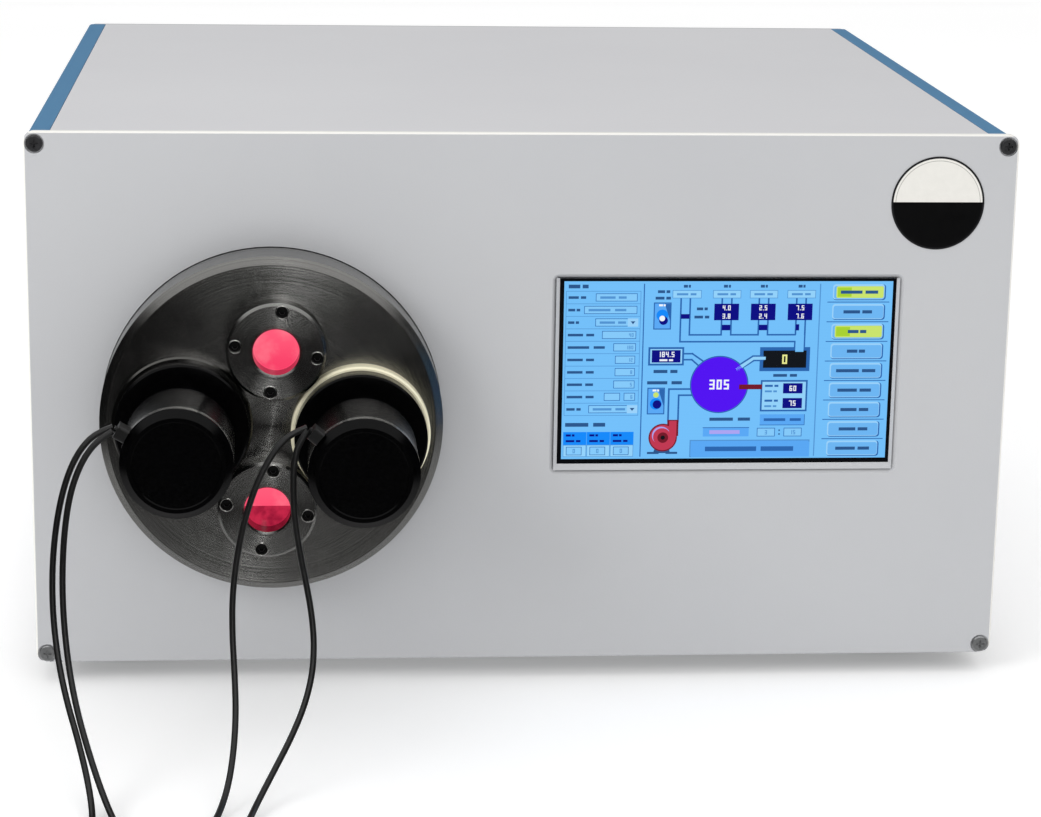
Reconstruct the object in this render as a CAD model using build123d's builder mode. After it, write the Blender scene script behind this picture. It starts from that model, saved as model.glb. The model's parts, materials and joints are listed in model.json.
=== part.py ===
# Desktop plasma cleaner with a sliding chamber door, two specimen holders and a touch screen
# Millimetres, +Z up. The front faces -Y and the origin is under the middle of the whole machine.
import math
import os

from build123d import *

os.makedirs("parts", exist_ok=True)

# Casing
case_width = 445.0
panel_height = 246.0
foot_height = 10.0
body_depth = 413.5
panel_thick = 3.0
panel_corner = 5.0
panel_edge_round = 0.6
cover_drop = 2.0
side_inset = 1.0
sheet_thick = 1.5
fit_gap = 0.3
rail_width = 9.5
rail_height = 14.0
rail_ledge = 8.0
rail_ledge_thick = 2.0
rail_round = 2.0
foot_radius = 10.0
foot_side_inset = 45.0
foot_end_inset = 45.0

# Corner screws of both panels
screw_inset_x = 5.0
screw_top_drop = 5.5
screw_bottom_rise = 4.3
screw_head_radius = 3.7
screw_head_height = 1.6
screw_recess_radius = 4.4
screw_recess_depth = 1.1
screw_shank_radius = 1.5
screw_shank_length = 9.0
screw_hole_gap = 0.05
cross_width = 0.8
cross_length = 3.6
cross_depth = 0.9

# Chamber, measured on its own axis
door_x = -114.0
door_z = 128.0
clocking = 3.4
door_radius = 76.3
door_chamfer = 3.3
door_proud = 24.0
ring_proud = 4.5
door_seat_gap = 0.3
tube_inner_radius = 55.0
tube_wall = 3.5
tube_length = 180.0
tube_seat = 7.0
tube_gap = 0.3
chamber_flange_radius = 88.0
chamber_flange_thick = 10.0
rear_flange_thick = 15.0
tube_seal_section = 3.0
tie_rod_radius = 3.0
tie_rod_neck_radius = 2.5
tie_rod_circle = 80.0
tie_nut_radius = 4.6
tie_nut_height = 4.0
electrode_thick = 1.2
electrode_gap = 0.3
electrode_span = 140.0
electrode_length = 110.0
electrode_inset = 30.0
pump_bore_radius = 12.0

# Door slide
guide_rod_radius = 3.0
guide_rod_circle = 68.5
guide_rod_length = 220.0
guide_rod_seat = 10.0
guide_rod_gap = 0.05
guide_rod_pass_gap = 0.8
bush_wall = 2.5
bush_length = 24.5
door_seal_radius = 59.5
door_seal_width = 3.0
door_seal_depth = 2.5

# Sample tray
tray_drop = 47.0
tray_half_width = 24.0
tray_length = 150.0
tray_thick = 2.0
tray_rim = 3.0
tray_rim_thick = 1.5
bracket_half_width = 18.0
bracket_rise = 22.0
bracket_thick = 3.0

# Viewports
view_offset = 36.0
view_flange_radius = 22.0
view_flange_thick = 10.0
view_flange_chamfer = 1.2
view_hole_radius = 10.3
view_hole_chamfer = 0.8
view_glass_radius = 14.5
view_glass_thick = 6.0
view_sight_radius = 9.6
view_bolt_circle = 18.2
view_bolt_head_radius = 2.4
view_bolt_head_height = 2.6
view_bolt_recess_gap = 0.4
view_bolt_sink = 0.3
view_bolt_shank_radius = 1.25
view_bolt_shank_length = 18.0
view_bolt_socket_radius = 1.3
view_bolt_socket_depth = 1.4

# Side ports
port_offset = 39.4
boss_radius = 31.0
boss_thick = 7.0
boss_chamfer = 0.8
sleeve_radius = 14.0
sleeve_inner_end = 8.0
port_bore_radius = 8.0
port_seal_width = 2.0
port_seal_depth = 1.5
port_seal_inset = 3.0
port_seal_gap = 0.05

# Specimen holders
shaft_radius = 7.9
shaft_inner_length = 45.0
shaft_step_radius = 4.6
shaft_step_length = 38.0
tip_radius = 2.6
tip_length = 34.0
tip_blade_half_width = 1.8
tip_blade_thick = 1.0
tip_blade_length = 12.0
tip_hole_radius = 0.8
collar_radius = 29.4
collar_thick = 8.5
collar_chamfer = 0.8
neck_radius = 19.0
neck_length = 17.5
grip_radius = 23.7
grip_length = 33.0
grip_back_chamfer = 1.0
band_radius = 23.9
band_length = 3.2
cap_radius = 23.9
cap_length = 4.3
cap_chamfer = 3.2
cap_dish_depth = 0.4
cap_dish_radius = 19.0
shaft_grip_depth = 20.0
clip_width = 6.0
clip_depth = 9.0
clip_height = 5.5
clip_screw_radius = 1.4
clip_screw_height = 1.0
clip_angle_left = 150.0
clip_angle_right = 141.0

# Display
screen_x = 92.5
screen_z = 145.2
screen_width = 157.0
screen_height = 90.0
screen_bevel = 1.8
screen_corner = 1.5
glass_gap = 0.2
glass_thick = 1.5
module_margin = 7.0
module_thick = 9.0
module_board_margin = 12.0
module_board_thick = 1.6

# Rear panel fittings
rear_reach = 23.5
pump_port_x = -114.0
pump_port_z = 128.0
kf_radius = 20.0
kf_rim = 3.0
kf_taper = 3.0
kf_recess_radius = 13.1
kf_recess_depth = 3.0
pump_pipe_wall = 2.5
pump_hole_gap = 0.5
valve_half_size = 21.0
valve_length = 60.0
valve_inset = 60.0
valve_actuator_radius = 16.0
valve_actuator_height = 42.0
fan_x = 140.0
fan_z = 165.0
fan_half_size = 40.0
fan_depth = 25.0
fan_bore_radius = 38.0
fan_hub_radius = 15.0
fan_blade_count = 7
fan_blade_radius = 36.5
fan_blade_thick = 1.4
fan_blade_chord_root = 15.0
fan_blade_chord_tip = 19.0
fan_blade_pitch_root = 48.0
fan_blade_pitch_tip = 28.0
fan_post_radius = 8.0
fan_arm_width = 5.0
fan_arm_thick = 3.0
fan_screw_offset = 35.75
guard_wire = 1.1
guard_ring_radii = (12.0, 20.0, 28.0, 36.0)
guard_stand_off = 1.1
inlet_x = 150.0
inlet_z = 62.0
inlet_width = 50.0
inlet_height = 28.0
inlet_plate_thick = 2.5
inlet_depth = 26.0
inlet_socket_x = -9.0
inlet_socket_width = 24.6
inlet_socket_height = 16.6
inlet_socket_depth = 18.0
inlet_pin_width = 2.0
inlet_pin_height = 4.0
inlet_pin_length = 13.0
inlet_pin_spread = 7.0
rocker_x = 15.0
rocker_width = 11.0
rocker_height = 20.0
rocker_gap = 0.4
rocker_depth = 10.0
rocker_crown = 2.2
rocker_pin_radius = 1.2
rocker_pin_gap = 0.05
gas_x = 10.0
gas_z = 205.0
gas_spacing = 26.0
gas_port_count = 4
gas_hex_radius = 8.0
gas_hex_length = 8.0
gas_stub_radius = 4.7
gas_stub_length = 8.0
gas_bore_radius = 2.2

# Inner assemblies
manifold_half_height = 9.0
manifold_depth = 20.0
manifold_end_margin = 14.0
flow_width = 22.0
flow_length = 70.0
flow_height = 46.0
generator_size = (120.0, 150.0, 70.0)
generator_x = 100.0
generator_inset = 95.0
generator_fin_count = 9
generator_fin_thick = 2.0
generator_fin_height = 12.0
matching_size = (110.0, 70.0, 26.0)
matching_inset = 60.0
supply_size = (70.0, 130.0, 38.0)
supply_x = 160.0
supply_inset = 252.0
board_size = (1.6, 120.0, 80.0)
board_x = 30.0
board_inset = 60.0
board_rise = 50.0
gauge_radius = 17.0
gauge_length = 44.0
gauge_stem_radius = 6.0
gauge_stem_length = 12.0

# Leads of the holders
lead_diameter = 2.7
plug_radius = 4.0
plug_length = 16.0
plug_nose_radius = 3.0
plug_nose_length = 9.0
plug_boot_length = 7.0
arc_share = 0.45

# Worked-out places
holder_reach = door_proud + boss_thick + collar_thick + neck_length + grip_length + band_length + cap_length
panel_y = (holder_reach - body_depth - rear_reach) / 2
panel_back_y = panel_y + panel_thick
rear_y = panel_y + body_depth
rear_inner_y = rear_y - panel_thick
panel_low = foot_height
panel_top = foot_height + panel_height
cover_top = panel_top - cover_drop
outer_half = case_width / 2 - side_inset
inner_half = outer_half - rail_width
rail_length = rear_inner_y - panel_back_y
clock = math.radians(clocking)
ring_y = panel_y - ring_proud
door_back_y = ring_y - door_seat_gap
door_face_y = panel_y - door_proud
tube_outer_radius = tube_inner_radius + tube_wall
flange_back_y = panel_back_y + chamber_flange_thick
tube_front_y = flange_back_y - tube_seat
tube_back_y = tube_front_y + tube_length
rear_flange_y = tube_back_y - tube_seat
rear_flange_back_y = rear_flange_y + rear_flange_thick


def around_door(radius, degrees):
    """A place round the door's axis, counted from +X and turned by the clocking."""
    angle = math.radians(degrees) - clock
    return (door_x + radius * math.cos(angle), door_z + radius * math.sin(angle))


view_up = around_door(view_offset, 90)
view_down = around_door(view_offset, 270)
port_left = around_door(port_offset, 180)
port_right = around_door(port_offset, 0)


def facing(x, z, y):
    """A sketch plane that looks out of the front, with its own X and Y along +X and +Z."""
    return Plane(origin=(x, y, z), x_dir=(1, 0, 0), z_dir=(0, -1, 0))


def block(low, high, mode=Mode.ADD):
    """A box from its lowest to its highest corner, in the part that is open."""
    middle = [(a + b) / 2 for a, b in zip(low, high)]
    size = [b - a for a, b in zip(low, high)]
    with Locations(tuple(middle)):
        Box(*size, mode=mode)


def rod(x, z, front, back, radius, mode=Mode.ADD):
    """A round bar along Y between two stations, in the part that is open."""
    with BuildSketch(facing(x, z, back)) as section:
        Circle(radius)
    extrude(section.sketch, amount=back - front, mode=mode)


def turned(x, z, profile):
    """A piece turned on an axis along Y, from its (radius, station) profile."""
    with BuildPart() as piece:
        with BuildSketch(Plane(origin=(x, 0, z), x_dir=(1, 0, 0), z_dir=(0, 0, 1))):
            with BuildLine():
                Polyline(*profile, close=True)
            make_face()
        revolve(axis=Axis((x, 0, z), (0, 1, 0)))
    return piece.part


def write(piece, name):
    """Label a finished piece and write it as its own file."""
    piece.label = name
    export_step(piece, "parts/" + name + ".step")


# Panels and covers
corner_x = case_width / 2 - screw_inset_x
screw_places = [
    (sign * corner_x, height)
    for sign in (-1, 1)
    for height in (panel_top - screw_top_drop, panel_low + screw_bottom_rise)
]
rail_top_z = cover_top - rail_height
rail_low_z = panel_low + rail_height
rear_screw_places = [
    (sign * corner_x, height)
    for sign in (-1, 1)
    for height in (panel_top - screw_top_drop - cover_drop, panel_low + screw_bottom_rise)
]


def screw_recesses(places, face_y, inward):
    """Shallow seats and clearance holes for the corner screws of a panel."""
    for x, z in places:
        seat_y = face_y + inward * screw_recess_depth
        rod(x, z, min(face_y, seat_y), max(face_y, seat_y), screw_recess_radius, Mode.SUBTRACT)
        through_y = face_y + inward * panel_thick
        low_y, high_y = min(face_y, through_y), max(face_y, through_y)
        rod(x, z, low_y, high_y, screw_shank_radius + screw_hole_gap, Mode.SUBTRACT)


with BuildPart() as front_panel:
    with BuildSketch(facing(0, panel_low + panel_height / 2, panel_back_y)):
        RectangleRounded(case_width, panel_height, panel_corner)
    extrude(amount=panel_thick)
    chamfer(front_panel.faces().sort_by(Axis.Y)[0].outer_wire().edges(), panel_edge_round)
    rod(door_x, door_z, panel_y, panel_back_y, door_radius + fit_gap, Mode.SUBTRACT)
    with BuildSketch(facing(screen_x, screen_z, panel_back_y)):
        RectangleRounded(screen_width, screen_height, screen_corner)
    extrude(amount=panel_thick, mode=Mode.SUBTRACT)
    with BuildSketch(facing(screen_x, screen_z, panel_y)):
        RectangleRounded(screen_width + 2 * screen_bevel, screen_height + 2 * screen_bevel, screen_corner + screen_bevel)
    with BuildSketch(facing(screen_x, screen_z, panel_y + screen_bevel)):
        RectangleRounded(screen_width, screen_height, screen_corner)
    loft(mode=Mode.SUBTRACT)
    screw_recesses(screw_places, panel_y, 1)
write(front_panel.part, "front_panel")

gas_places = [gas_x - gas_spacing * (gas_port_count - 1) / 2 + gas_spacing * i for i in range(gas_port_count)]
rear_height = panel_height - cover_drop
with BuildPart() as rear_panel:
    with BuildSketch(facing(0, panel_low + rear_height / 2, rear_y)):
        RectangleRounded(case_width, rear_height, panel_corner)
    extrude(amount=panel_thick)
    rod(pump_port_x, pump_port_z, rear_inner_y, rear_y,
        pump_bore_radius + pump_pipe_wall + pump_hole_gap, Mode.SUBTRACT)
    rod(fan_x, fan_z, rear_inner_y, rear_y, fan_bore_radius, Mode.SUBTRACT)
    for sign_x in (-1, 1):
        for sign_z in (-1, 1):
            rod(fan_x + sign_x * fan_screw_offset, fan_z + sign_z * fan_screw_offset,
                rear_inner_y, rear_y, screw_shank_radius, Mode.SUBTRACT)
    block((inlet_x - inlet_width / 2 + inlet_plate_thick, rear_inner_y, inlet_z - inlet_height / 2 + inlet_plate_thick),
          (inlet_x + inlet_width / 2 - inlet_plate_thick, rear_y, inlet_z + inlet_height / 2 - inlet_plate_thick),
          Mode.SUBTRACT)
    for x in gas_places:
        rod(x, gas_z, rear_inner_y, rear_y, gas_stub_radius + fit_gap, Mode.SUBTRACT)
    screw_recesses(rear_screw_places, rear_y, -1)
write(rear_panel.part, "rear_panel")

with BuildPart() as top_cover:
    block((-inner_half + fit_gap, panel_back_y, cover_top - sheet_thick),
          (inner_half - fit_gap, rear_inner_y, cover_top))
write(top_cover.part, "top_cover")

with BuildPart() as bottom_panel:
    block((-inner_half + fit_gap, panel_back_y, panel_low),
          (inner_half - fit_gap, rear_inner_y, panel_low + sheet_thick))
write(bottom_panel.part, "bottom_panel")

for side, sign in (("left", -1), ("right", 1)):
    with BuildPart() as side_panel:
        edges = sorted((sign * outer_half, sign * (outer_half - sheet_thick)))
        block((edges[0], panel_back_y, rail_low_z), (edges[1], rear_inner_y, rail_top_z))
    write(side_panel.part, "side_panel_" + side)


def corner_rail(sign, seat_z, upward, places):
    """An extruded corner rail: a square bar with a ledge under the cover sheet."""
    with BuildPart() as rail:
        with BuildSketch(Plane(origin=(0, rear_inner_y, 0), x_dir=(1, 0, 0), z_dir=(0, -1, 0))):
            outer = sign * outer_half
            inner = sign * inner_half
            ledge = sign * (inner_half - rail_ledge)
            edge = seat_z - upward * sheet_thick
            under = edge - upward * rail_ledge_thick
            far = seat_z - upward * rail_height
            with BuildLine():
                Polyline((outer, seat_z), (inner, seat_z), (inner, edge), (ledge, edge),
                         (ledge, under), (inner, under), (inner, far), (outer, far), close=True)
            make_face()
        extrude(amount=rail_length)
        outer_edges = rail.edges().filter_by(Axis.Y)
        crown = [e for e in outer_edges if abs(e.center().X - sign * outer_half) < 0.01
                 and abs(e.center().Z - seat_z) < 0.01]
        fillet(crown, rail_round)
        for x, z in places:
            if x * sign > 0 and abs(z - seat_z) < rail_height:
                rod(x, z, panel_back_y, panel_back_y + screw_shank_length,
                    screw_shank_radius + screw_hole_gap, Mode.SUBTRACT)
        for x, z in rear_screw_places:
            if x * sign > 0 and abs(z - seat_z) < rail_height:
                rod(x, z, rear_inner_y - screw_shank_length, rear_inner_y,
                    screw_shank_radius + screw_hole_gap, Mode.SUBTRACT)
    return rail.part


top_rails = Compound(children=[corner_rail(sign, cover_top, 1, screw_places) for sign in (-1, 1)])
write(top_rails, "top_rails")
bottom_rails = Compound(children=[corner_rail(sign, panel_low, -1, screw_places) for sign in (-1, 1)])
write(bottom_rails, "bottom_rails")

with BuildPart() as feet:
    for sign in (-1, 1):
        for y in (panel_y + foot_end_inset, rear_y - foot_end_inset):
            with BuildSketch(Plane.XY):
                with Locations((sign * (case_width / 2 - foot_side_inset), y)):
                    Circle(foot_radius * 0.9)
            with BuildSketch(Plane.XY.offset(foot_height)):
                with Locations((sign * (case_width / 2 - foot_side_inset), y)):
                    Circle(foot_radius)
            loft()
write(feet.part, "feet")


def cross_head_screw(x, z, seat_y, outward, shank):
    """A pan-head screw with a cross slot. outward is -1 at the front and 1 at the rear."""
    top_y = seat_y + outward * screw_head_height
    end_y = seat_y - outward * shank
    with BuildPart() as screw:
        rod(x, z, min(seat_y, top_y), max(seat_y, top_y), screw_head_radius)
        chamfer(screw.faces().sort_by(Axis.Y)[0 if outward < 0 else -1].edges(), 0.5)
        rod(x, z, min(seat_y, end_y), max(seat_y, end_y), screw_shank_radius)
        slot_y = top_y - outward * cross_depth
        low_y, high_y = min(top_y, slot_y), max(top_y, slot_y)
        half_long, half_wide = cross_length / 2, cross_width / 2
        block((x - half_long, low_y, z - half_wide), (x + half_long, high_y, z + half_wide), Mode.SUBTRACT)
        block((x - half_wide, low_y, z - half_long), (x + half_wide, high_y, z + half_long), Mode.SUBTRACT)
    return screw.part


screw_reach = panel_thick - screw_recess_depth + screw_shank_length - 1.0
panel_screws = [cross_head_screw(x, z, panel_y + screw_recess_depth, -1, screw_reach) for x, z in screw_places]
panel_screws += [cross_head_screw(x, z, rear_y - screw_recess_depth, 1, screw_reach) for x, z in rear_screw_places]
write(Compound(children=panel_screws), "panel_screws")

# Chamber
rod_places = [around_door(guide_rod_circle, degrees) for degrees in (45, 225)]
bush_radius = guide_rod_radius + guide_rod_gap + bush_wall
tie_places = [around_door(tie_rod_circle, degrees) for degrees in (15, 105, 195, 285)]
seal_middle_y = flange_back_y - tube_seat / 2

with BuildPart() as chamber_flange:
    add(turned(door_x, door_z, [
        (tube_inner_radius, ring_y), (door_radius, ring_y), (door_radius, panel_back_y),
        (chamber_flange_radius, panel_back_y), (chamber_flange_radius, flange_back_y),
        (tube_outer_radius + tube_gap, flange_back_y), (tube_outer_radius + tube_gap, tube_front_y),
        (tube_inner_radius, tube_front_y)]))
    add(turned(door_x, door_z, [
        (tube_outer_radius, seal_middle_y - tube_seal_section / 2),
        (tube_outer_radius + tube_seal_section, seal_middle_y - tube_seal_section / 2),
        (tube_outer_radius + tube_seal_section, seal_middle_y + tube_seal_section / 2),
        (tube_outer_radius, seal_middle_y + tube_seal_section / 2)]), mode=Mode.SUBTRACT)
    for x, z in rod_places:
        rod(x, z, ring_y, flange_back_y, bush_radius, Mode.SUBTRACT)
write(chamber_flange.part, "chamber_flange")

chamber_tube = turned(door_x, door_z, [
    (tube_inner_radius, tube_front_y), (tube_outer_radius, tube_front_y),
    (tube_outer_radius, tube_back_y), (tube_inner_radius, tube_back_y)])
write(chamber_tube, "chamber_tube")

rear_seal_y = rear_flange_y + tube_seat / 2
with BuildPart() as rear_flange:
    add(turned(door_x, door_z, [
        (pump_bore_radius, tube_back_y), (tube_outer_radius + tube_gap, tube_back_y),
        (tube_outer_radius + tube_gap, rear_flange_y), (chamber_flange_radius, rear_flange_y),
        (chamber_flange_radius, rear_flange_back_y), (pump_bore_radius, rear_flange_back_y)]))
    add(turned(door_x, door_z, [
        (tube_outer_radius, rear_seal_y - tube_seal_section / 2),
        (tube_outer_radius + tube_seal_section, rear_seal_y - tube_seal_section / 2),
        (tube_outer_radius + tube_seal_section, rear_seal_y + tube_seal_section / 2),
        (tube_outer_radius, rear_seal_y + tube_seal_section / 2)]), mode=Mode.SUBTRACT)
    for x, z in tie_places:
        rod(x, z, rear_flange_y, rear_flange_back_y, tie_rod_neck_radius + screw_hole_gap, Mode.SUBTRACT)
    for x, z in rod_places:
        rod(x, z, rear_flange_y, rear_flange_back_y, guide_rod_radius + guide_rod_pass_gap, Mode.SUBTRACT)
write(rear_flange.part, "rear_flange")

tube_seals = [
    turned(door_x, door_z, [
        (tube_outer_radius + 0.02, y - tube_seal_section / 2),
        (tube_outer_radius + tube_seal_section, y - tube_seal_section / 2),
        (tube_outer_radius + tube_seal_section, y + tube_seal_section / 2),
        (tube_outer_radius + 0.02, y + tube_seal_section / 2)])
    for y in (seal_middle_y, rear_seal_y)
]
write(Compound(children=tube_seals), "tube_seals")


def tie_rod(x, z):
    """A tie rod between the flanges, necked down at the back, with its nut."""
    with BuildPart() as tie:
        rod(x, z, flange_back_y, rear_flange_y, tie_rod_radius)
        rod(x, z, rear_flange_y, rear_flange_back_y + tie_nut_height, tie_rod_neck_radius)
        with BuildSketch(facing(x, z, rear_flange_back_y + tie_nut_height)):
            RegularPolygon(tie_nut_radius, 6)
        extrude(amount=tie_nut_height)
    return tie.part


write(Compound(children=[tie_rod(x, z) for x, z in tie_places]), "tie_rods")


def electrode(sign):
    """A curved copper plate over or under the tube."""
    start_y = flange_back_y + electrode_inset
    inner = tube_outer_radius + electrode_gap
    with BuildPart() as plate:
        half = math.radians(electrode_span / 2)
        with BuildSketch(facing(door_x, door_z, start_y + electrode_length)):
            with BuildLine():
                for_radius = []
                for radius in (inner, inner + electrode_thick):
                    ends = [(radius * math.sin(a), sign * radius * math.cos(a)) for a in (-half, half)]
                    ThreePointArc(ends[0], (0, sign * radius), ends[1])
                    for_radius.append(ends)
                Line(for_radius[0][0], for_radius[1][0])
                Line(for_radius[0][1], for_radius[1][1])
            make_face()
        extrude(amount=electrode_length)
    return plate.part


write(Compound(children=[electrode(1), electrode(-1)]), "electrodes")

guide_bushes = [
    turned(x, z, [
        (guide_rod_radius + guide_rod_gap, ring_y), (bush_radius, ring_y),
        (bush_radius, ring_y + bush_length), (guide_rod_radius + guide_rod_gap, ring_y + bush_length)])
    for x, z in rod_places
]
write(Compound(children=guide_bushes), "guide_bushes")

# Door and what it carries
glass_back_y = door_face_y + view_glass_thick
boss_face_y = door_face_y - boss_thick
rod_socket_y = door_back_y - guide_rod_seat
bolt_angles = (85, 175, 265, 355)


def viewport_bolts(centre):
    """Places of the four screws round one viewport."""
    return [
        (centre[0] + view_bolt_circle * math.cos(math.radians(a) - clock),
         centre[1] + view_bolt_circle * math.sin(math.radians(a) - clock))
        for a in bolt_angles
    ]


seal_inner = door_seal_radius - door_seal_width / 2
seal_outer = door_seal_radius + door_seal_width / 2
with BuildPart() as door_disc:
    rod(door_x, door_z, door_face_y, door_back_y, door_radius)
    chamfer(door_disc.faces().sort_by(Axis.Y)[0].edges(), door_chamfer)
    for x, z in (view_up, view_down):
        rod(x, z, door_face_y, door_back_y, view_sight_radius, Mode.SUBTRACT)
        rod(x, z, door_face_y, glass_back_y, view_glass_radius, Mode.SUBTRACT)
    for x, z in viewport_bolts(view_up) + viewport_bolts(view_down):
        bolt_end_y = door_face_y - view_flange_thick + view_bolt_sink + view_bolt_head_height + view_bolt_shank_length
        rod(x, z, door_face_y, bolt_end_y, view_bolt_shank_radius, Mode.SUBTRACT)
    for x, z in (port_left, port_right):
        rod(x, z, door_face_y, door_back_y, sleeve_radius, Mode.SUBTRACT)
    for x, z in rod_places:
        rod(x, z, rod_socket_y, door_back_y, guide_rod_radius, Mode.SUBTRACT)
    add(turned(door_x, door_z, [
        (seal_inner, door_back_y - door_seal_depth), (seal_outer, door_back_y - door_seal_depth),
        (seal_outer, door_back_y), (seal_inner, door_back_y)]), mode=Mode.SUBTRACT)
write(door_disc.part, "door_disc")

door_seal = turned(door_x, door_z, [
    (seal_inner, door_back_y - door_seal_depth), (seal_outer, door_back_y - door_seal_depth),
    (seal_outer, ring_y), (seal_inner, ring_y)])

with BuildPart() as guide_rods:
    for x, z in rod_places:
        rod(x, z, rod_socket_y, rod_socket_y + guide_rod_length, guide_rod_radius)
write(guide_rods.part, "guide_rods")

tray_top = door_z - tray_drop
tray_start_y = door_back_y
with BuildPart() as sample_tray:
    block((door_x - tray_half_width, tray_start_y + bracket_thick, tray_top - tray_thick),
          (door_x + tray_half_width, tray_start_y + tray_length, tray_top))
    for sign in (-1, 1):
        rim = sorted((door_x + sign * tray_half_width, door_x + sign * (tray_half_width - tray_rim_thick)))
        block((rim[0], tray_start_y + bracket_thick, tray_top), (rim[1], tray_start_y + tray_length, tray_top + tray_rim))
    block((door_x - tray_half_width, tray_start_y + tray_length - tray_rim_thick, tray_top),
          (door_x + tray_half_width, tray_start_y + tray_length, tray_top + tray_rim))
write(sample_tray.part, "sample_tray")

with BuildPart() as tray_bracket:
    block((door_x - bracket_half_width, tray_start_y, tray_top - tray_thick),
          (door_x + bracket_half_width, tray_start_y + bracket_thick, tray_top + bracket_rise))
    rod(view_down[0], view_down[1], tray_start_y, tray_start_y + bracket_thick, view_sight_radius, Mode.SUBTRACT)
write(tray_bracket.part, "tray_bracket")


def viewport_flange(centre):
    """A bolted steel ring that holds a sight glass against the door."""
    x, z = centre
    face_y = door_face_y - view_flange_thick
    with BuildPart() as ring:
        add(turned(x, z, [
            (view_hole_radius, door_face_y), (view_flange_radius, door_face_y),
            (view_flange_radius, face_y + view_flange_chamfer),
            (view_flange_radius - view_flange_chamfer, face_y),
            (view_hole_radius + view_hole_chamfer, face_y),
            (view_hole_radius, face_y + view_hole_chamfer)]))
        seat_y = face_y + view_bolt_sink + view_bolt_head_height
        for bolt_x, bolt_z in viewport_bolts(centre):
            rod(bolt_x, bolt_z, face_y, seat_y, view_bolt_head_radius + view_bolt_recess_gap, Mode.SUBTRACT)
            rod(bolt_x, bolt_z, seat_y, door_face_y, view_bolt_shank_radius, Mode.SUBTRACT)
    return ring.part


write(Compound(children=[viewport_flange(view_up), viewport_flange(view_down)]), "viewport_flanges")

with BuildPart() as viewport_glasses:
    for x, z in (view_up, view_down):
        rod(x, z, door_face_y, glass_back_y, view_glass_radius)
write(viewport_glasses.part, "viewport_glasses")


def socket_screw(x, z):
    """A socket-head screw sunk into a viewport flange."""
    head_y = door_face_y - view_flange_thick + view_bolt_sink
    seat_y = head_y + view_bolt_head_height
    with BuildPart() as screw:
        rod(x, z, head_y, seat_y, view_bolt_head_radius)
        chamfer(screw.faces().sort_by(Axis.Y)[0].edges(), 0.4)
        rod(x, z, seat_y, seat_y + view_bolt_shank_length, view_bolt_shank_radius)
        with BuildSketch(facing(x, z, head_y + view_bolt_socket_depth)):
            RegularPolygon(view_bolt_socket_radius, 6)
        extrude(amount=view_bolt_socket_depth, mode=Mode.SUBTRACT)
    return screw.part


bolt_places = viewport_bolts(view_up) + viewport_bolts(view_down)
write(Compound(children=[socket_screw(x, z) for x, z in bolt_places]), "viewport_screws")

port_seal_y = boss_face_y + port_seal_inset


def port_boss(centre):
    """A turned steel port with its sleeve through the door, bored for a holder's shaft."""
    x, z = centre
    sleeve_end_y = door_back_y + sleeve_inner_end
    return turned(x, z, [
        (port_bore_radius, boss_face_y), (boss_radius - boss_chamfer, boss_face_y),
        (boss_radius, boss_face_y + boss_chamfer), (boss_radius, door_face_y),
        (sleeve_radius, door_face_y), (sleeve_radius, sleeve_end_y),
        (port_bore_radius, sleeve_end_y), (port_bore_radius, port_seal_y + port_seal_width),
        (port_bore_radius + port_seal_depth, port_seal_y + port_seal_width),
        (port_bore_radius + port_seal_depth, port_seal_y), (port_bore_radius, port_seal_y)])


write(Compound(children=[port_boss(port_left), port_boss(port_right)]), "port_bosses")

port_seals = [
    turned(x, z, [
        (shaft_radius + port_seal_gap, port_seal_y), (port_bore_radius + port_seal_depth, port_seal_y),
        (port_bore_radius + port_seal_depth, port_seal_y + port_seal_width),
        (shaft_radius + port_seal_gap, port_seal_y + port_seal_width)])
    for x, z in (port_left, port_right)
]
write(Compound(children=[door_seal] + port_seals), "door_seals")

# Specimen holders
collar_face_y = boss_face_y - collar_thick
grip_back_y = collar_face_y - neck_length
grip_front_y = grip_back_y - grip_length
band_front_y = grip_front_y - band_length
cap_front_y = band_front_y - cap_length
shaft_front_y = grip_back_y - shaft_grip_depth
clip_y = band_front_y + band_length / 2


def holder_collar(x, z):
    """The flat black disc that seats on the port."""
    return turned(x, z, [
        (shaft_radius, boss_face_y), (collar_radius, boss_face_y),
        (collar_radius, collar_face_y + collar_chamfer), (collar_radius - collar_chamfer, collar_face_y),
        (shaft_radius, collar_face_y)])


def holder_grip(x, z):
    """The black barrel with its narrower neck, bored from the back for the shaft."""
    return turned(x, z, [
        (shaft_radius, collar_face_y), (neck_radius, collar_face_y), (neck_radius, grip_back_y),
        (grip_radius - grip_back_chamfer, grip_back_y), (grip_radius, grip_back_y - grip_back_chamfer),
        (grip_radius, grip_front_y), (0, grip_front_y), (0, shaft_front_y), (shaft_radius, shaft_front_y)])


def holder_band(x, z):
    """The polished ring between the barrel and the end cap."""
    return turned(x, z, [
        (0, grip_front_y), (band_radius, grip_front_y), (band_radius, band_front_y), (0, band_front_y)])


def holder_cap(x, z):
    """The end cap, with a wide bevel and a shallow dish."""
    return turned(x, z, [
        (0, band_front_y), (cap_radius, band_front_y), (cap_radius, band_front_y - cap_length + cap_chamfer),
        (cap_radius - cap_chamfer, cap_front_y), (cap_dish_radius, cap_front_y),
        (cap_dish_radius - cap_dish_depth, cap_front_y + cap_dish_depth), (0, cap_front_y + cap_dish_depth)])


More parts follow.
